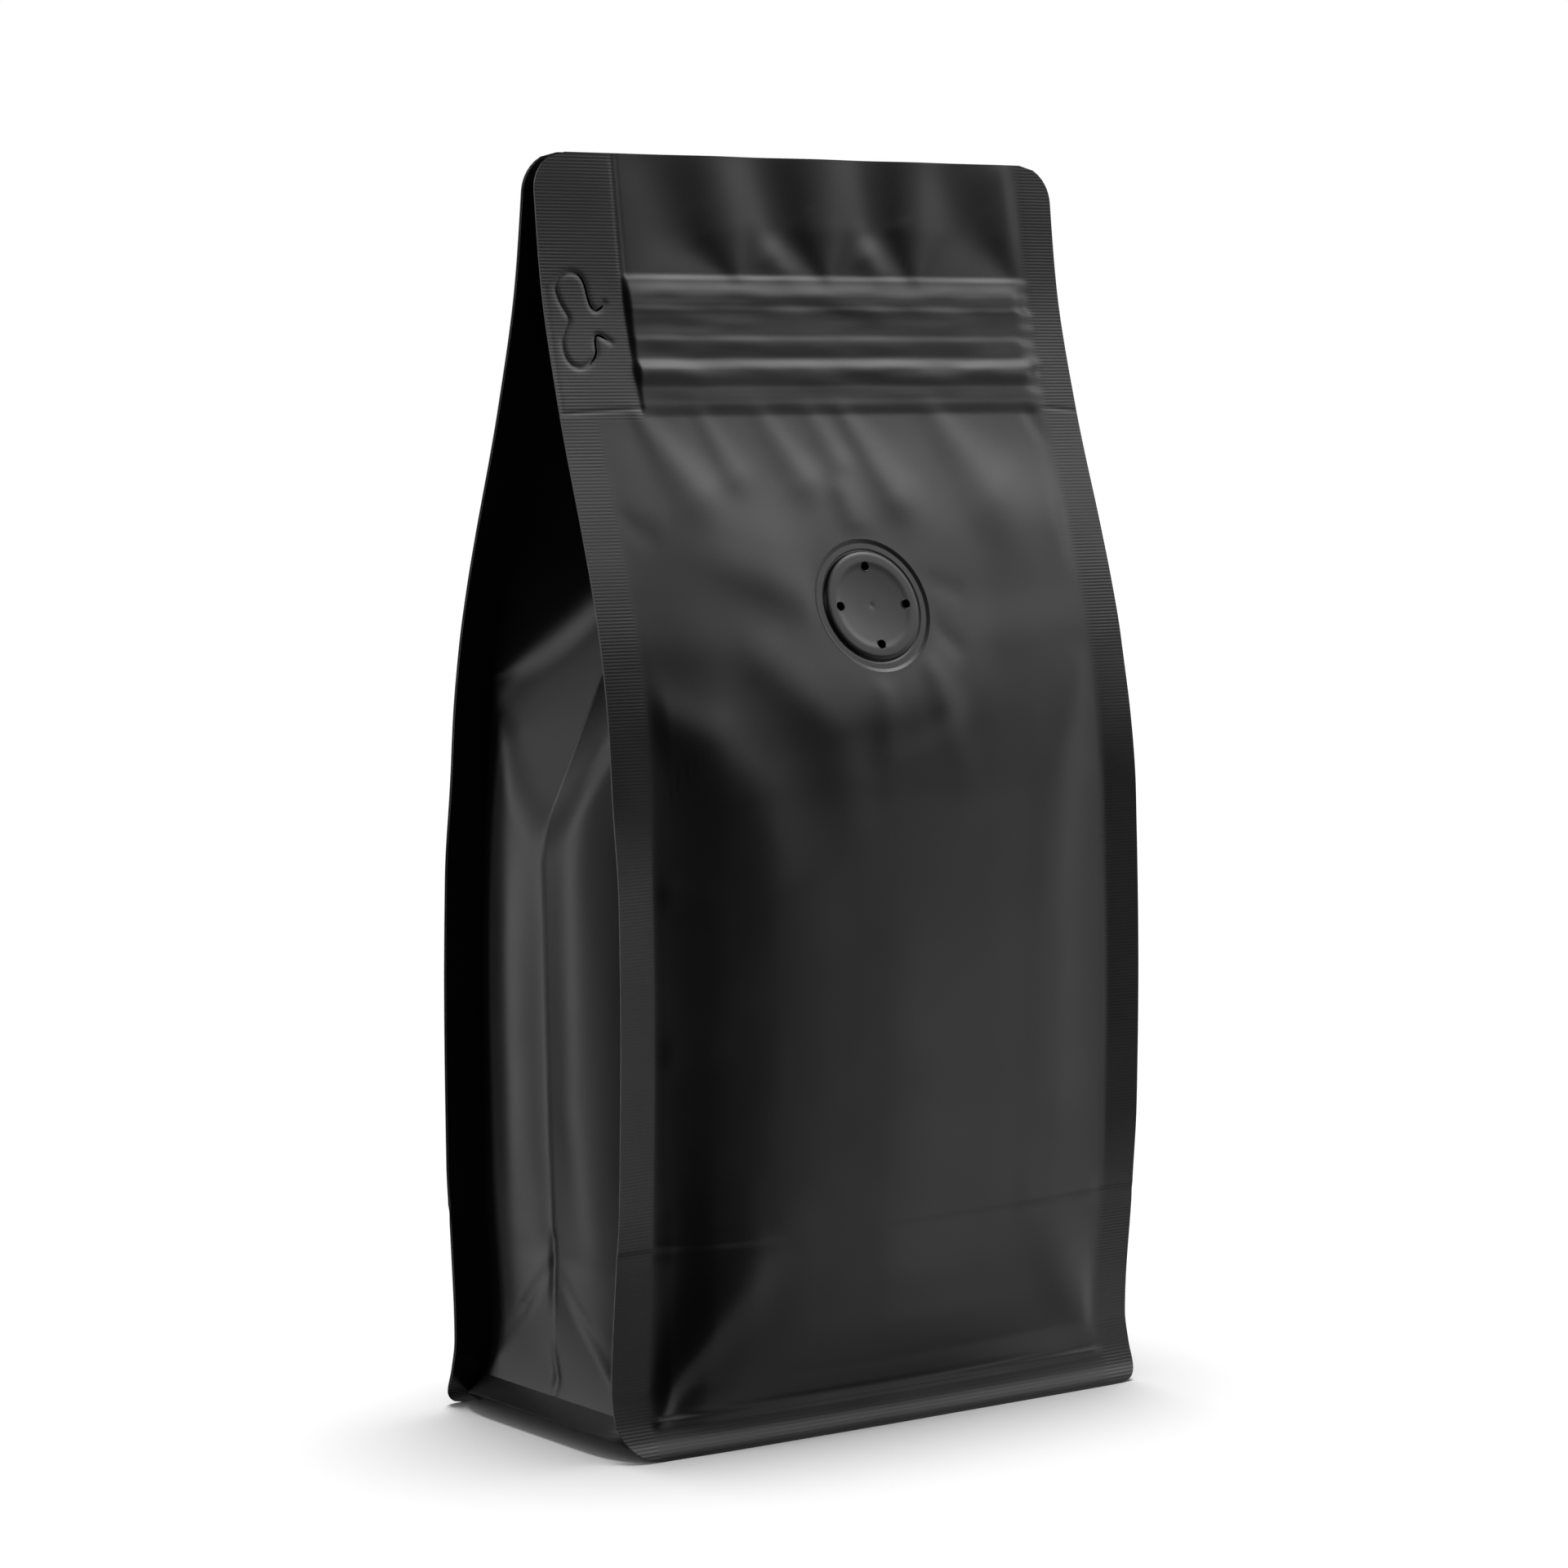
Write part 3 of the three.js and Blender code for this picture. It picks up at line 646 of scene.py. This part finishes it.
def cut_edge():
    """The cut edge of the laminate: its pale sealing layer shows as a thin light line."""
    material, tree = blank_material("cut_laminate_edge")
    place = node(tree, "ShaderNodeTexCoord").outputs["Object"]
    ply = noise(tree, place, 1.5, 2.0)
    colour = node(tree, "ShaderNodeMix", {
        0: ply, 6: linear("#1c1c1c"), 7: linear("#484848")}, data_type="RGBA")
    film = node(tree, "ShaderNodeBsdfPrincipled", {
        "Base Color": colour.outputs[2], "Roughness": 0.5, "IOR": 1.5})
    node(tree, "ShaderNodeOutputMaterial", {"Surface": film.outputs[0]})
    return material


LAMINATE = matt_laminate("matt_black_laminate", "#0a0a0a", "#0e0e0e", 0.4, 0.016)
VALVE_FILM = matt_laminate("film_over_moulded_valve", "#0b0b0b", "#0f0f0f", 0.36, 0.0)
TAB_FILM = matt_laminate("heat_sealed_laminate", "#0a0a0a", "#0e0e0e", 0.4, 0.016)
EDGE = cut_edge()


# The zip's ribs, which follow a rule: a level rib at each height, pressed out through the film.


def group_input(tree, name, kind, default):
    socket = tree.interface.new_socket(name, in_out="INPUT", socket_type=kind)
    if default is not None:
        socket.default_value = default
    return socket.identifier


def geometry_tree(name, sizes):
    """A Geometry Nodes tree that takes a piece, these sizes and its film, and the inputs' identifiers."""
    tree = bpy.data.node_groups.new(name, "GeometryNodeTree")
    for way in ("INPUT", "OUTPUT"):
        tree.interface.new_socket("Geometry", in_out=way, socket_type="NodeSocketGeometry")
    keys = {size: group_input(tree, size, "NodeSocketFloat", 0.0) for size in sizes}
    keys["Film"] = group_input(tree, "Film", "NodeSocketMaterial", None)
    return tree, keys


def end_tree(tree, geometry, film):
    """Makes the result real mesh in its film."""
    real = node(tree, "GeometryNodeRealizeInstances", {0: geometry})
    painted = node(tree, "GeometryNodeSetMaterial", {"Geometry": real.outputs[0], "Material": film})
    node(tree, "NodeGroupOutput", {"Geometry": painted.outputs[0]})


def zip_rib_tree():
    """Presses level ribs out of a sheet, along the direction given, where its zip attribute is above 0.

    Each rib ramps up from above and runs out below. All of them waver a little along the sheet, and they are
    fuller in some places than in others, over about 5 mm in height and three times as much along the sheet.
    """
    names = ["Strength", "Band rise", "Waver"]
    names += [f"{what} {i + 1}" for i in range(len(ZIP_RIBS)) for what in RIB_SIZES]
    tree, keys = geometry_tree("zip_ribs", names)
    given = node(tree, "NodeGroupInput").outputs
    place = node(tree, "GeometryNodeInputPosition").outputs[0]
    parts = node(tree, "ShaderNodeSeparateXYZ", {0: place})
    level = node(tree, "ShaderNodeCombineXYZ", {"X": parts.outputs["X"]})
    sway = reckon(tree, "SUBTRACT", noise(tree, level.outputs[0], 22, 2.0), 0.5)
    waver = reckon(tree, "MULTIPLY", sway, given["Waver"])
    height = reckon(tree, "ADD", parts.outputs["Z"], waver)
    mask = node(tree, "GeometryNodeInputNamedAttribute", {"Name": "zip"}, data_type="FLOAT").outputs[0]
    total = given["Band rise"]
    for i in range(len(ZIP_RIBS)):
        crest, rise, above, below = (given[f"{what} {i + 1}"] for what in RIB_SIZES)
        ramp = node(tree, "ShaderNodeMapRange", {
            "Value": height, "From Min": crest, "From Max": reckon(tree, "ADD", crest, above),
            "To Min": 1.0, "To Max": 0.0}, interpolation_type="SMOOTHSTEP")
        run = node(tree, "ShaderNodeMapRange", {
            "Value": height, "From Min": reckon(tree, "SUBTRACT", crest, below), "From Max": crest,
            "To Min": 0.0, "To Max": 1.0}, interpolation_type="SMOOTHSTEP")
        ridge = reckon(tree, "MULTIPLY", ramp.outputs[0], run.outputs[0])
        total = reckon(tree, "ADD", reckon(tree, "MULTIPLY", ridge, rise), total)
    drawn = node(tree, "ShaderNodeVectorMath", {0: place, 1: (0.3, 0.0, 1.0)}, operation="MULTIPLY")
    blotch = noise(tree, drawn.outputs[0], 5, 1.0)
    fullness = node(tree, "ShaderNodeMapRange", {0: blotch, 1: 0.25, 2: 0.75, 3: 0.8, 4: 1.2})
    out = reckon(tree, "MULTIPLY", reckon(tree, "MULTIPLY", total, fullness.outputs[0]), mask)
    offset = node(tree, "ShaderNodeCombineXYZ", {"Y": reckon(tree, "MULTIPLY", out, given["Strength"])})
    moved = node(tree, "GeometryNodeSetPosition", {
        "Geometry": given["Geometry"], "Offset": offset.outputs[0]})
    end_tree(tree, moved.outputs[0], given["Film"])
    return tree, keys


ZIP_TREE, ZIP_KEYS = zip_rib_tree()


def press_zip(piece, strength):
    """Presses the zip out of a panel. The strength's sign is the way that the panel faces."""
    ribs = piece.modifiers.new("zip_ribs", "NODES")
    ribs.node_group = ZIP_TREE
    ribs[ZIP_KEYS["Strength"]] = float(strength)
    ribs[ZIP_KEYS["Band rise"]] = ZIP_RISE * MM
    ribs[ZIP_KEYS["Waver"]] = ZIP_WAVER * MM
    for i, sizes in enumerate(ZIP_RIBS):
        for what, size in zip(RIB_SIZES, sizes):
            ribs[ZIP_KEYS[f"{what} {i + 1}"]] = size * MM
    ribs[ZIP_KEYS["Film"]] = LAMINATE
    return applied(piece)


def zip_left(z):
    """Where the zip starts, at the inner edge of the wide seal."""
    return WIDE_SEAL - SIDE_SEAL - seal_line(z)


def seal_share(x, z):
    """How strongly a big panel is embossed: fully on its side seals and wide seal, faintly on the skirt."""
    side = smoothstep(-0.3, 0.3, np.abs(x) - seal_line(z))
    wide = smoothstep(-0.3, 0.3, zip_left(z) - x) * smoothstep(ZIP_BOTTOM - 0.6, ZIP_BOTTOM, z)
    skirt = 1 - smoothstep(SEAM_HEIGHT - 1.2, SEAM_HEIGHT - 0.4, z)
    return np.maximum(np.maximum(side, wide), SKIRT_EMBOSS * skirt)


def zip_share(x, z):
    """1 on the zip's band and 0 off it. The right end is ragged, where the side seal crushes the zip."""
    band = smoothstep(ZIP_BOTTOM, ZIP_BOTTOM + 2.6, z) * (1 - smoothstep(ZIP_TOP, ZIP_TOP + 1.2, z))
    left = smoothstep(zip_left(z) - 0.6, zip_left(z) + 1, x)
    ragged = 0.5 * np.sin(0.9 * z) + 0.3 * np.sin(2.3 * z)
    right = 1 - smoothstep(-3.6, 0.4, x - seal_line(z) + ragged)
    return band * left * right


def big_panel(name, depth_at, face, zip_strength):
    """The front or the back panel, from its outer face inwards, with the zip pressed out of it."""
    grid = panel_grid(depth_at, face)
    x, z = grid[..., 0], grid[..., 2]
    piece = sheet(name, grid, flip=face > 0)
    give(piece.data, "seal", seal_share(x, z))
    give(piece.data, "zip", zip_share(x, z))
    piece.data.materials.append(LAMINATE)
    press_zip(piece, face * zip_strength)
    return thicken(piece)


def gusset_margin(side, face):
    """The margin of a gusset that is sealed to a panel as a fin, in the order in which the sheet runs."""
    z = GUSSET_ROWS[:, None]
    edge = half_width(z, side, face) - FIN_STEP_BACK
    x = lerp(np.minimum(seal_line(z), edge - LEAST_FIN), edge, np.linspace(1, 0, 8, endpoint=False)[None, :])
    y = face * (half_depth(z) - 2 * FILM + lean_at(side * x, z))
    points = np.stack([x, y, np.broadcast_to(z, x.shape)], axis=-1)
    return points if face < 0 else points[:, ::-1]


def gusset_wall():
    """The wall of a gusset between its margins, which turns out under the seam to the skirt's edge."""
    z = GUSSET_ROWS[:, None]
    v = np.linspace(-1, 1, 101)[None, :]
    above = np.maximum(z, SEAM_HEIGHT)
    below = np.clip(1 - z / SEAM_HEIGHT, 0, 1)
    end = np.abs(v) ** SKIRT_SQUARENESS
    x = lerp(wall_reach(v, above), lerp(SKIRT_REACH, seal_line(0), end), below)
    y = v * (lerp(half_depth(above), half_depth(0), below) - 2 * FILM)
    return np.stack([x, y, lerp(above, FILM + SKIRT_RISE * (1 - end), below)], axis=-1)


def gusset(name, side):
    """A side gusset: its wall between its two margins. The margins are embossed, and the skirt is faintly."""
    front, wall, back = gusset_margin(side, -1), gusset_wall(), gusset_margin(side, 1)
    piece = sheet(name, np.concatenate([front, wall, back], axis=1) * [side, 1, 1], flip=side < 0)
    skirt = np.where(wall[..., 2] < SEAM_HEIGHT, GUSSET_SKIRT_EMBOSS, 0)
    margin = np.ones(front.shape[:2])
    give(piece.data, "seal", np.concatenate([margin, skirt, margin], axis=1))
    piece.data.materials.append(LAMINATE)
    return thicken(piece)


def bottom_rings():
    """The bottom panel as rings from its edge to its middle.

    It is sealed inside the skirt up to the seam, rolls in over it, and is pressed down flat by the contents.
    """
    v = np.linspace(-1, 1, 41)
    across = np.linspace(-1, 1, 61)[1:-1]
    end = np.abs(v) ** SKIRT_SQUARENESS
    seam = SEAM_HEIGHT - BOTTOM_BELOW_SEAM
    for share in np.linspace(0, 1, 8):
        edge = lerp(SKIRT_REACH, seal_line(0), end)
        reach = lerp(edge, seal_line(SEAM_HEIGHT), share) - 0.3 * (1 - end)
        rise = np.maximum(lerp(SKIRT_RISE * (1 - end) - 0.06, seam, share), 0)
        depth = lerp(half_depth(0), half_depth(SEAM_HEIGHT), share) - 3 * FILM
        yield ring_of(reach, v * depth, rise, across * seal_line(0) * 0.999, depth, share * seam)
    for turn in np.linspace(0, math.pi / 2, 9)[1:]:
        inset = BASE_INSET * (1 - math.cos(turn))
        rise = seam * (1 - math.sin(turn))
        reach = np.full_like(v, seal_line(SEAM_HEIGHT) - inset)
        depth = half_depth(SEAM_HEIGHT) - 3 * FILM - inset
        flat = ring_of(reach, v * depth, np.full_like(v, rise), across * (seal_line(0) - inset), depth, rise)
        yield flat
    for share in (0.3, 0.6, 0.85):
        yield flat * [1 - 0.55 * share, 1 - share, 1]


def bottom_panel():
    rings = list(bottom_rings())
    count = len(rings[0])
    faces = []
    for start in range(0, (len(rings) - 1) * count, count):
        for i in range(count):
            j = (i + 1) % count
            faces.append((start + i, start + count + i, start + count + j, start + j))
    faces.append(range((len(rings) - 1) * count, len(rings) * count))
    piece = mesh_from("bottom_panel", np.concatenate(rings), faces)
    give(piece.data, "seal", np.zeros(len(rings) * count))
    piece.data.materials.append(LAMINATE)
    return thicken(piece, even=False)


def ring_of(reach, flap_y, flap_z, front_x, front_y, front_z):
    """One closed ring round the bottom: right flap, back, left flap, front, anticlockwise from above."""
    right = np.stack([reach, flap_y, flap_z], axis=1)
    back = np.stack([front_x[::-1], np.full_like(front_x, front_y), np.full_like(front_x, front_z)], axis=1)
    return np.concatenate([right, back, -right * [1, 1, -1], -back * [1, 1, -1]])


# The valve.


def lathe(name, profile, segments=128):
    """A closed round solid about +Z, from (radius, height) points that start and end on the axis."""
    turns = np.arange(segments) * 2 * math.pi / segments
    points = [(0, 0, profile[0][1])]
    for radius, height in profile[1:-1]:
        points += [(radius * math.cos(a), radius * math.sin(a), height) for a in turns]
    points.append((0, 0, profile[-1][1]))
    last = len(profile) - 3

    def at(level, i):
        return 1 + level * segments + i % segments

    faces = [(0, at(0, i + 1), at(0, i)) for i in range(segments)]
    for level in range(last):
        for i in range(segments):
            faces.append((at(level, i), at(level, i + 1), at(level + 1, i + 1), at(level + 1, i)))
    faces += [(len(points) - 1, at(last, i), at(last, i + 1)) for i in range(segments)]
    return mesh_from(name, points, faces)


def rounded(corners, steps=5):
    """A profile with each inner corner (radius, height, rounding) turned into a short arc."""
    points = [np.array(corners[0][:2], float)]
    for before, corner, after in zip(corners, corners[1:], corners[2:]):
        p, q, r = (np.array(c[:2], float) for c in (before, corner, after))
        if corner[2] == 0:
            points.append(q)
            continue
        a = q + (p - q) / np.linalg.norm(p - q) * corner[2]
        b = q + (r - q) / np.linalg.norm(r - q) * corner[2]
        for t in np.linspace(0, 1, steps):
            points.append((1 - t) ** 2 * a + 2 * t * (1 - t) * q + t * t * b)
    points.append(np.array(corners[-1][:2], float))
    return points


def vent_hole_tree():
    """Pierces a disc with holes set round a circle, each with a fine raised rim."""
    tree, keys = geometry_tree("vent_holes", VENT_SIZES)
    keys["Holes"] = group_input(tree, "Holes", "NodeSocketInt", VALVE_HOLES)
    given = node(tree, "NodeGroupInput").outputs
    circle = node(tree, "GeometryNodeMeshCircle", {
        "Vertices": given["Holes"], "Radius": given["Circle radius"]})
    punch = node(tree, "GeometryNodeMeshCylinder", {
        "Vertices": 32, "Radius": given["Hole radius"], "Depth": given["Depth"]})
    punches = node(tree, "GeometryNodeInstanceOnPoints", {
        "Points": circle.outputs["Mesh"], "Instance": punch.outputs["Mesh"]})
    cutters = node(tree, "GeometryNodeRealizeInstances", {0: punches.outputs[0]})
    pierced = node(tree, "GeometryNodeMeshBoolean", {
        "Mesh 1": given["Geometry"], "Mesh 2": cutters.outputs[0]}, operation="DIFFERENCE", solver="EXACT")
    round_hole = node(tree, "GeometryNodeCurvePrimitiveCircle", {
        "Resolution": 32, "Radius": given["Hole radius"]})
    section = node(tree, "GeometryNodeCurvePrimitiveCircle", {
        "Resolution": 8, "Radius": given["Rim thickness"]})
    rim = node(tree, "GeometryNodeCurveToMesh", {
        "Curve": round_hole.outputs[0], "Profile Curve": section.outputs[0]})
    lift = node(tree, "ShaderNodeCombineXYZ", {"Z": given["Rim height"]})
    lifted = node(tree, "GeometryNodeTransform", {
        "Geometry": rim.outputs[0], "Translation": lift.outputs[0]})
    rims = node(tree, "GeometryNodeInstanceOnPoints", {
        "Points": circle.outputs["Mesh"], "Instance": lifted.outputs[0]})
    both = node(tree, "GeometryNodeJoinGeometry")
    tree.links.new(pierced.outputs[0], both.inputs[0])
    tree.links.new(rims.outputs[0], both.inputs[0])
    end_tree(tree, both.outputs[0], given["Film"])
    return tree, keys


def valve():
    """The film over the one-way valve: a sunk weld ring with a bevelled lip, and a raised, dished disc.

    Its section's corners are (radius, height over the panel, rounding), from under its middle round to the
    top. The disc is pierced with vent holes.
    """
    rim, lip, disc, dish = VALVE_RADIUS + 0.2, VALVE_RADIUS - 0.03, VALVE_DISC_RADIUS, VALVE_DISH_RADIUS
    underside = [(0, -0.75), (rim, -0.75, 0), (rim, -0.32, 0)]
    weld_ring = [(lip, -0.32, 0), (lip, -0.03, 0.05), (lip - 0.6, -0.3, 0.15), (disc + 0.5, -0.27, 0.15)]
    disc_edge = [(disc + 0.2, -0.42, 0.12), (disc - 0.1, 0.1, 0.15), (disc - 0.6, 0.26, 0.25)]
    hollow = [(dish + 0.4, 0.26, 0.3), (dish - 0.5, 0.1, 0.4), (3.6, -0.14, 1.5), (0.6, -0.2, 0.2)]
    piece = lathe("degassing_valve", rounded(underside + weld_ring + disc_edge + hollow + [(0, -0.28)]))
    tree, keys = vent_hole_tree()
    holes = piece.modifiers.new("vent_holes", "NODES")
    holes.node_group = tree
    for name, size in VENT_SIZES.items():
        holes[keys[name]] = size * MM
    holes[keys["Holes"]] = VALVE_HOLES
    holes[keys["Film"]] = VALVE_FILM
    applied(piece)
    piece.data.transform(valve_place())
    give(piece.data, "seal", np.zeros(len(piece.data.vertices)))
    return piece


def valve_place():
    """From a round piece about +Z to its place on the front panel."""
    outward = Vector((0, -1, -valve_slope)).normalized()
    turn = Vector((0, 0, 1)).rotation_difference(outward).to_matrix().to_4x4()
    return Matrix.Translation(Vector((0, -valve_depth, VALVE_HEIGHT)) * MM) @ turn


# The pull tab: a die-cut slot round it leaves it joined to the film at its neck.


def prism(name, outline, near, far):
    """A closed prism along Y through an (x, z) outline that runs anticlockwise seen from the front."""
    count = len(outline)
    points = [(x, near, z) for x, z in outline] + [(x, far, z) for x, z in outline]
    faces = [tuple(range(count)), tuple(range(2 * count - 1, count - 1, -1))]
    faces += [(i, i + count, (i + 1) % count + count, (i + 1) % count) for i in range(count)]
    return mesh_from(name, points, faces)


def tab_prism(grow):
    """The tab's outline, grown outwards everywhere but at its neck."""
    line = tab_curve()
    along = np.gradient(line, axis=0)
    outward = np.stack([along[:, 1], -along[:, 0]], axis=1) / np.linalg.norm(along, axis=1)[:, None]
    from_neck = np.arange(len(line))
    fade = smoothstep(0, 10, np.minimum(from_neck, from_neck[::-1]))[:, None]
    return prism("tab_outline", line + outward * grow * fade, *TAB_DIE)


def boolean(piece, cutter, operation):
    cut = piece.modifiers.new("cut", "BOOLEAN")
    cut.object = cutter
    cut.operation = operation
    cut.solver = "EXACT"
    applied(piece)
    bpy.data.objects.remove(cutter)
    return piece


def pull_tab():
    """The tab: the same film as the panel, parted from it by the slot and joined to it at the neck."""
    x = np.arange(*TAB_PATCH_ACROSS, TAB_PATCH_STEP)[None, :]
    z = np.arange(*TAB_PATCH_UP, TAB_PATCH_STEP)[:, None]
    x, z = np.broadcast_arrays(x, z)
    piece = sheet("pull_tab", np.stack([x, -front_depth(x, z), z], axis=-1))
    give(piece.data, "seal", np.ones(x.size))
    piece.data.materials.append(TAB_FILM)
    thicken(piece)
    return boolean(piece, tab_prism(-TAB_SLOT / 2), "INTERSECT")


def held_in_height(piece):
    """Keeps a piece between the table and the pouch's top, where the film's thickness leans past them."""
    places = np.empty(len(piece.data.vertices) * 3, np.float32)
    piece.data.vertices.foreach_get("co", places)
    places[2::3] = np.clip(places[2::3], 0, HEIGHT * MM)
    piece.data.vertices.foreach_set("co", places)
    piece.data.update()


def place_piece(piece, node_name):
    """Shades a finished piece smooth, up to the film's sharp edges, gives it its body and hides the part that
    it stands in for.
    """
    held_in_height(piece)
    piece.data.shade_smooth()
    piece.data.set_sharp_from_angle(angle=math.radians(38))
    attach(piece, "root")
    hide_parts(node_name)


# How far the floor reaches, in millimetres, and how far off the lamps stand, in metres.
FLOOR_REACH = 6000
LAMP_DISTANCE = 1.5

# The camera: its place in millimetres, the side that it looks from, as azimuth and elevation, and its lens.
CAMERA_PLACE = (-462.5, -633.2, 181.2)
CAMERA_SIDE = (-36, 5.4)
CAMERA_LENS = 104.5
CAMERA_SENSOR = 36


def stage_floor():
    """A plain white floor with its own light. Only the camera sees it, so it throws no light on the film."""
    corners = [(x * FLOOR_REACH, y * FLOOR_REACH, 0) for x, y in ((-1, -1), (1, -1), (1, 1), (-1, 1))]
    floor = mesh_from("floor", corners, [(0, 1, 2, 3)])
    material, tree = blank_material("white_paper")
    paper = node(tree, "ShaderNodeBsdfDiffuse", {"Color": linear("#ffffff")})
    node(tree, "ShaderNodeOutputMaterial", {"Surface": paper.outputs[0]})
    floor.data.materials.append(material)
    floor.visible_glossy = False
    floor.visible_diffuse = False
    floor.visible_shadow = False
    only_on(overhead_light(), [floor])


def towards(azimuth, elevation):
    """A direction away from the pouch. Azimuth 0 is straight in front of the panel and 90 to its right."""
    a, e = math.radians(azimuth), math.radians(elevation)
    return Vector((math.sin(a) * math.cos(e), -math.cos(a) * math.cos(e), math.sin(e)))


def facing_pouch(name, light, azimuth, elevation):
    """A lamp that shines at the pouch from this direction."""
    lamp = bpy.data.objects.new(name, light)
    direction = towards(azimuth, elevation)
    lamp.location = direction * LAMP_DISTANCE + Vector((0, 0, HEIGHT * MM / 2))
    lamp.rotation_euler = direction.to_track_quat("Z", "Y").to_euler()
    lamp.visible_camera = False
    bpy.context.scene.collection.objects.link(lamp)
    return lamp


def overhead_light():
    """A broad, even light from above and a little behind, for the floor alone: it makes the shadow."""
    light = bpy.data.lights.new("overhead", "SUN")
    light.energy = 2.55
    light.angle = math.radians(32)
    return facing_pouch("overhead", light, 140, 84)


def studio_world():
    """White behind the pouch for the camera, and a dim, even room that lights the floor's shadows.

    The film, which would show the room as a haze, has only the softboxes to reflect.
    """
    world = bpy.data.worlds.new("studio")
    world.use_nodes = True
    world.cycles_visibility.glossy = False
    tree = world.node_tree
    tree.nodes.clear()
    path = node(tree, "ShaderNodeLightPath")
    room = node(tree, "ShaderNodeBackground", {"Color": (1, 1, 1, 1), "Strength": 0.3})
    white = node(tree, "ShaderNodeBackground", {"Color": (1, 1, 1, 1), "Strength": 1.0})
    mix = node(tree, "ShaderNodeMixShader", {
        0: path.outputs["Is Camera Ray"], 1: room.outputs[0], 2: white.outputs[0]})
    node(tree, "ShaderNodeOutputWorld", {"Surface": mix.outputs[0]})
    bpy.context.scene.world = world


def only_on(lamp, pieces):
    """Lets a lamp light these pieces alone, so that the softboxes leave the floor to its own even light."""
    lit = bpy.data.collections.new(lamp.name + "_lights")
    for piece in pieces:
        lit.objects.link(piece)
    lamp.light_linking.receiver_collection = lit


def softbox(name, azimuth, elevation, width, height, radiance):
    """A soft, square-cornered light of this radiance."""
    light = bpy.data.lights.new(name, "AREA")
    light.shape = "RECTANGLE"
    light.size = width
    light.size_y = height
    light.energy = radiance * math.pi * width * height
    return facing_pouch(name, light, azimuth, elevation)


# Softboxes: azimuth, elevation, width and height in metres, radiance. table_bounce stands for the light that
# the white table throws up at the foot, as the floor itself throws none.
SOFTBOXES = [
    ("key", 65, 54, 0.5, 0.56, 8.2),
    ("top", 45, 54, 0.5, 0.56, 3.4),
    ("high_right", 65, 32, 0.5, 0.56, 3.9),
    ("high_front", 35, 32, 0.95, 0.56, 1.3),
    ("side", 65, 10, 0.5, 0.56, 1.6),
    ("low_right", 95, -12, 1.0, 0.56, 3.8),
    ("low_front", 45, -12, 0.5, 0.56, 1.7),
    ("table_bounce", 32, -40, 1.0, 0.95, 0.46),
    ("high_back", -135, 50, 0.5, 0.56, 5.2),
    ("back", -155, 25, 0.5, 0.56, 2.6),
    ("back_left", -138, -5, 0.5, 0.85, 2.5),
    ("left", -100, 25, 0.7, 0.56, 3.2),
]


def camera():
    """The photograph's view, from the left of the front panel and looking slightly down."""
    data = bpy.data.cameras.new("camera")
    data.lens = CAMERA_LENS
    data.sensor_width = CAMERA_SENSOR
    eye = bpy.data.objects.new("camera", data)
    eye.location = Vector(CAMERA_PLACE) * MM
    eye.rotation_euler = (-towards(*CAMERA_SIDE)).to_track_quat("-Z", "Y").to_euler()
    bpy.context.scene.collection.objects.link(eye)
    bpy.context.scene.camera = eye


def build_pouch():
    front = big_panel("front_panel", front_depth, -1, FRONT_ZIP)
    through = (0, -VALVE_CUT), (VALVE_RADIUS, -VALVE_CUT), (VALVE_RADIUS, VALVE_CUT), (0, VALVE_CUT)
    disc = lathe("disc_cutter", through)
    disc.data.transform(valve_place())
    boolean(front, disc, "DIFFERENCE")
    boolean(front, tab_prism(TAB_SLOT / 2), "DIFFERENCE")
    back = big_panel("back_panel", back_depth, 1, BACK_ZIP)
    place_piece(front, "pouch")
    place_piece(back, "pouch")
    for name, side in (("left_gusset", -1), ("right_gusset", 1)):
        place_piece(gusset(name, side), "pouch")
    place_piece(bottom_panel(), "pouch")
    place_piece(valve(), "degassing_valve")
    place_piece(pull_tab(), "pull_tab")


build_pouch()
stage_floor()
studio_world()
pouch_pieces = [piece for piece in bpy.data.objects if piece.type == "MESH" and piece.name != "floor"]
for box in SOFTBOXES:
    only_on(softbox(*box), pouch_pieces)
camera()

view = bpy.context.scene.view_settings
view.view_transform = "Standard"
view.look = "None"
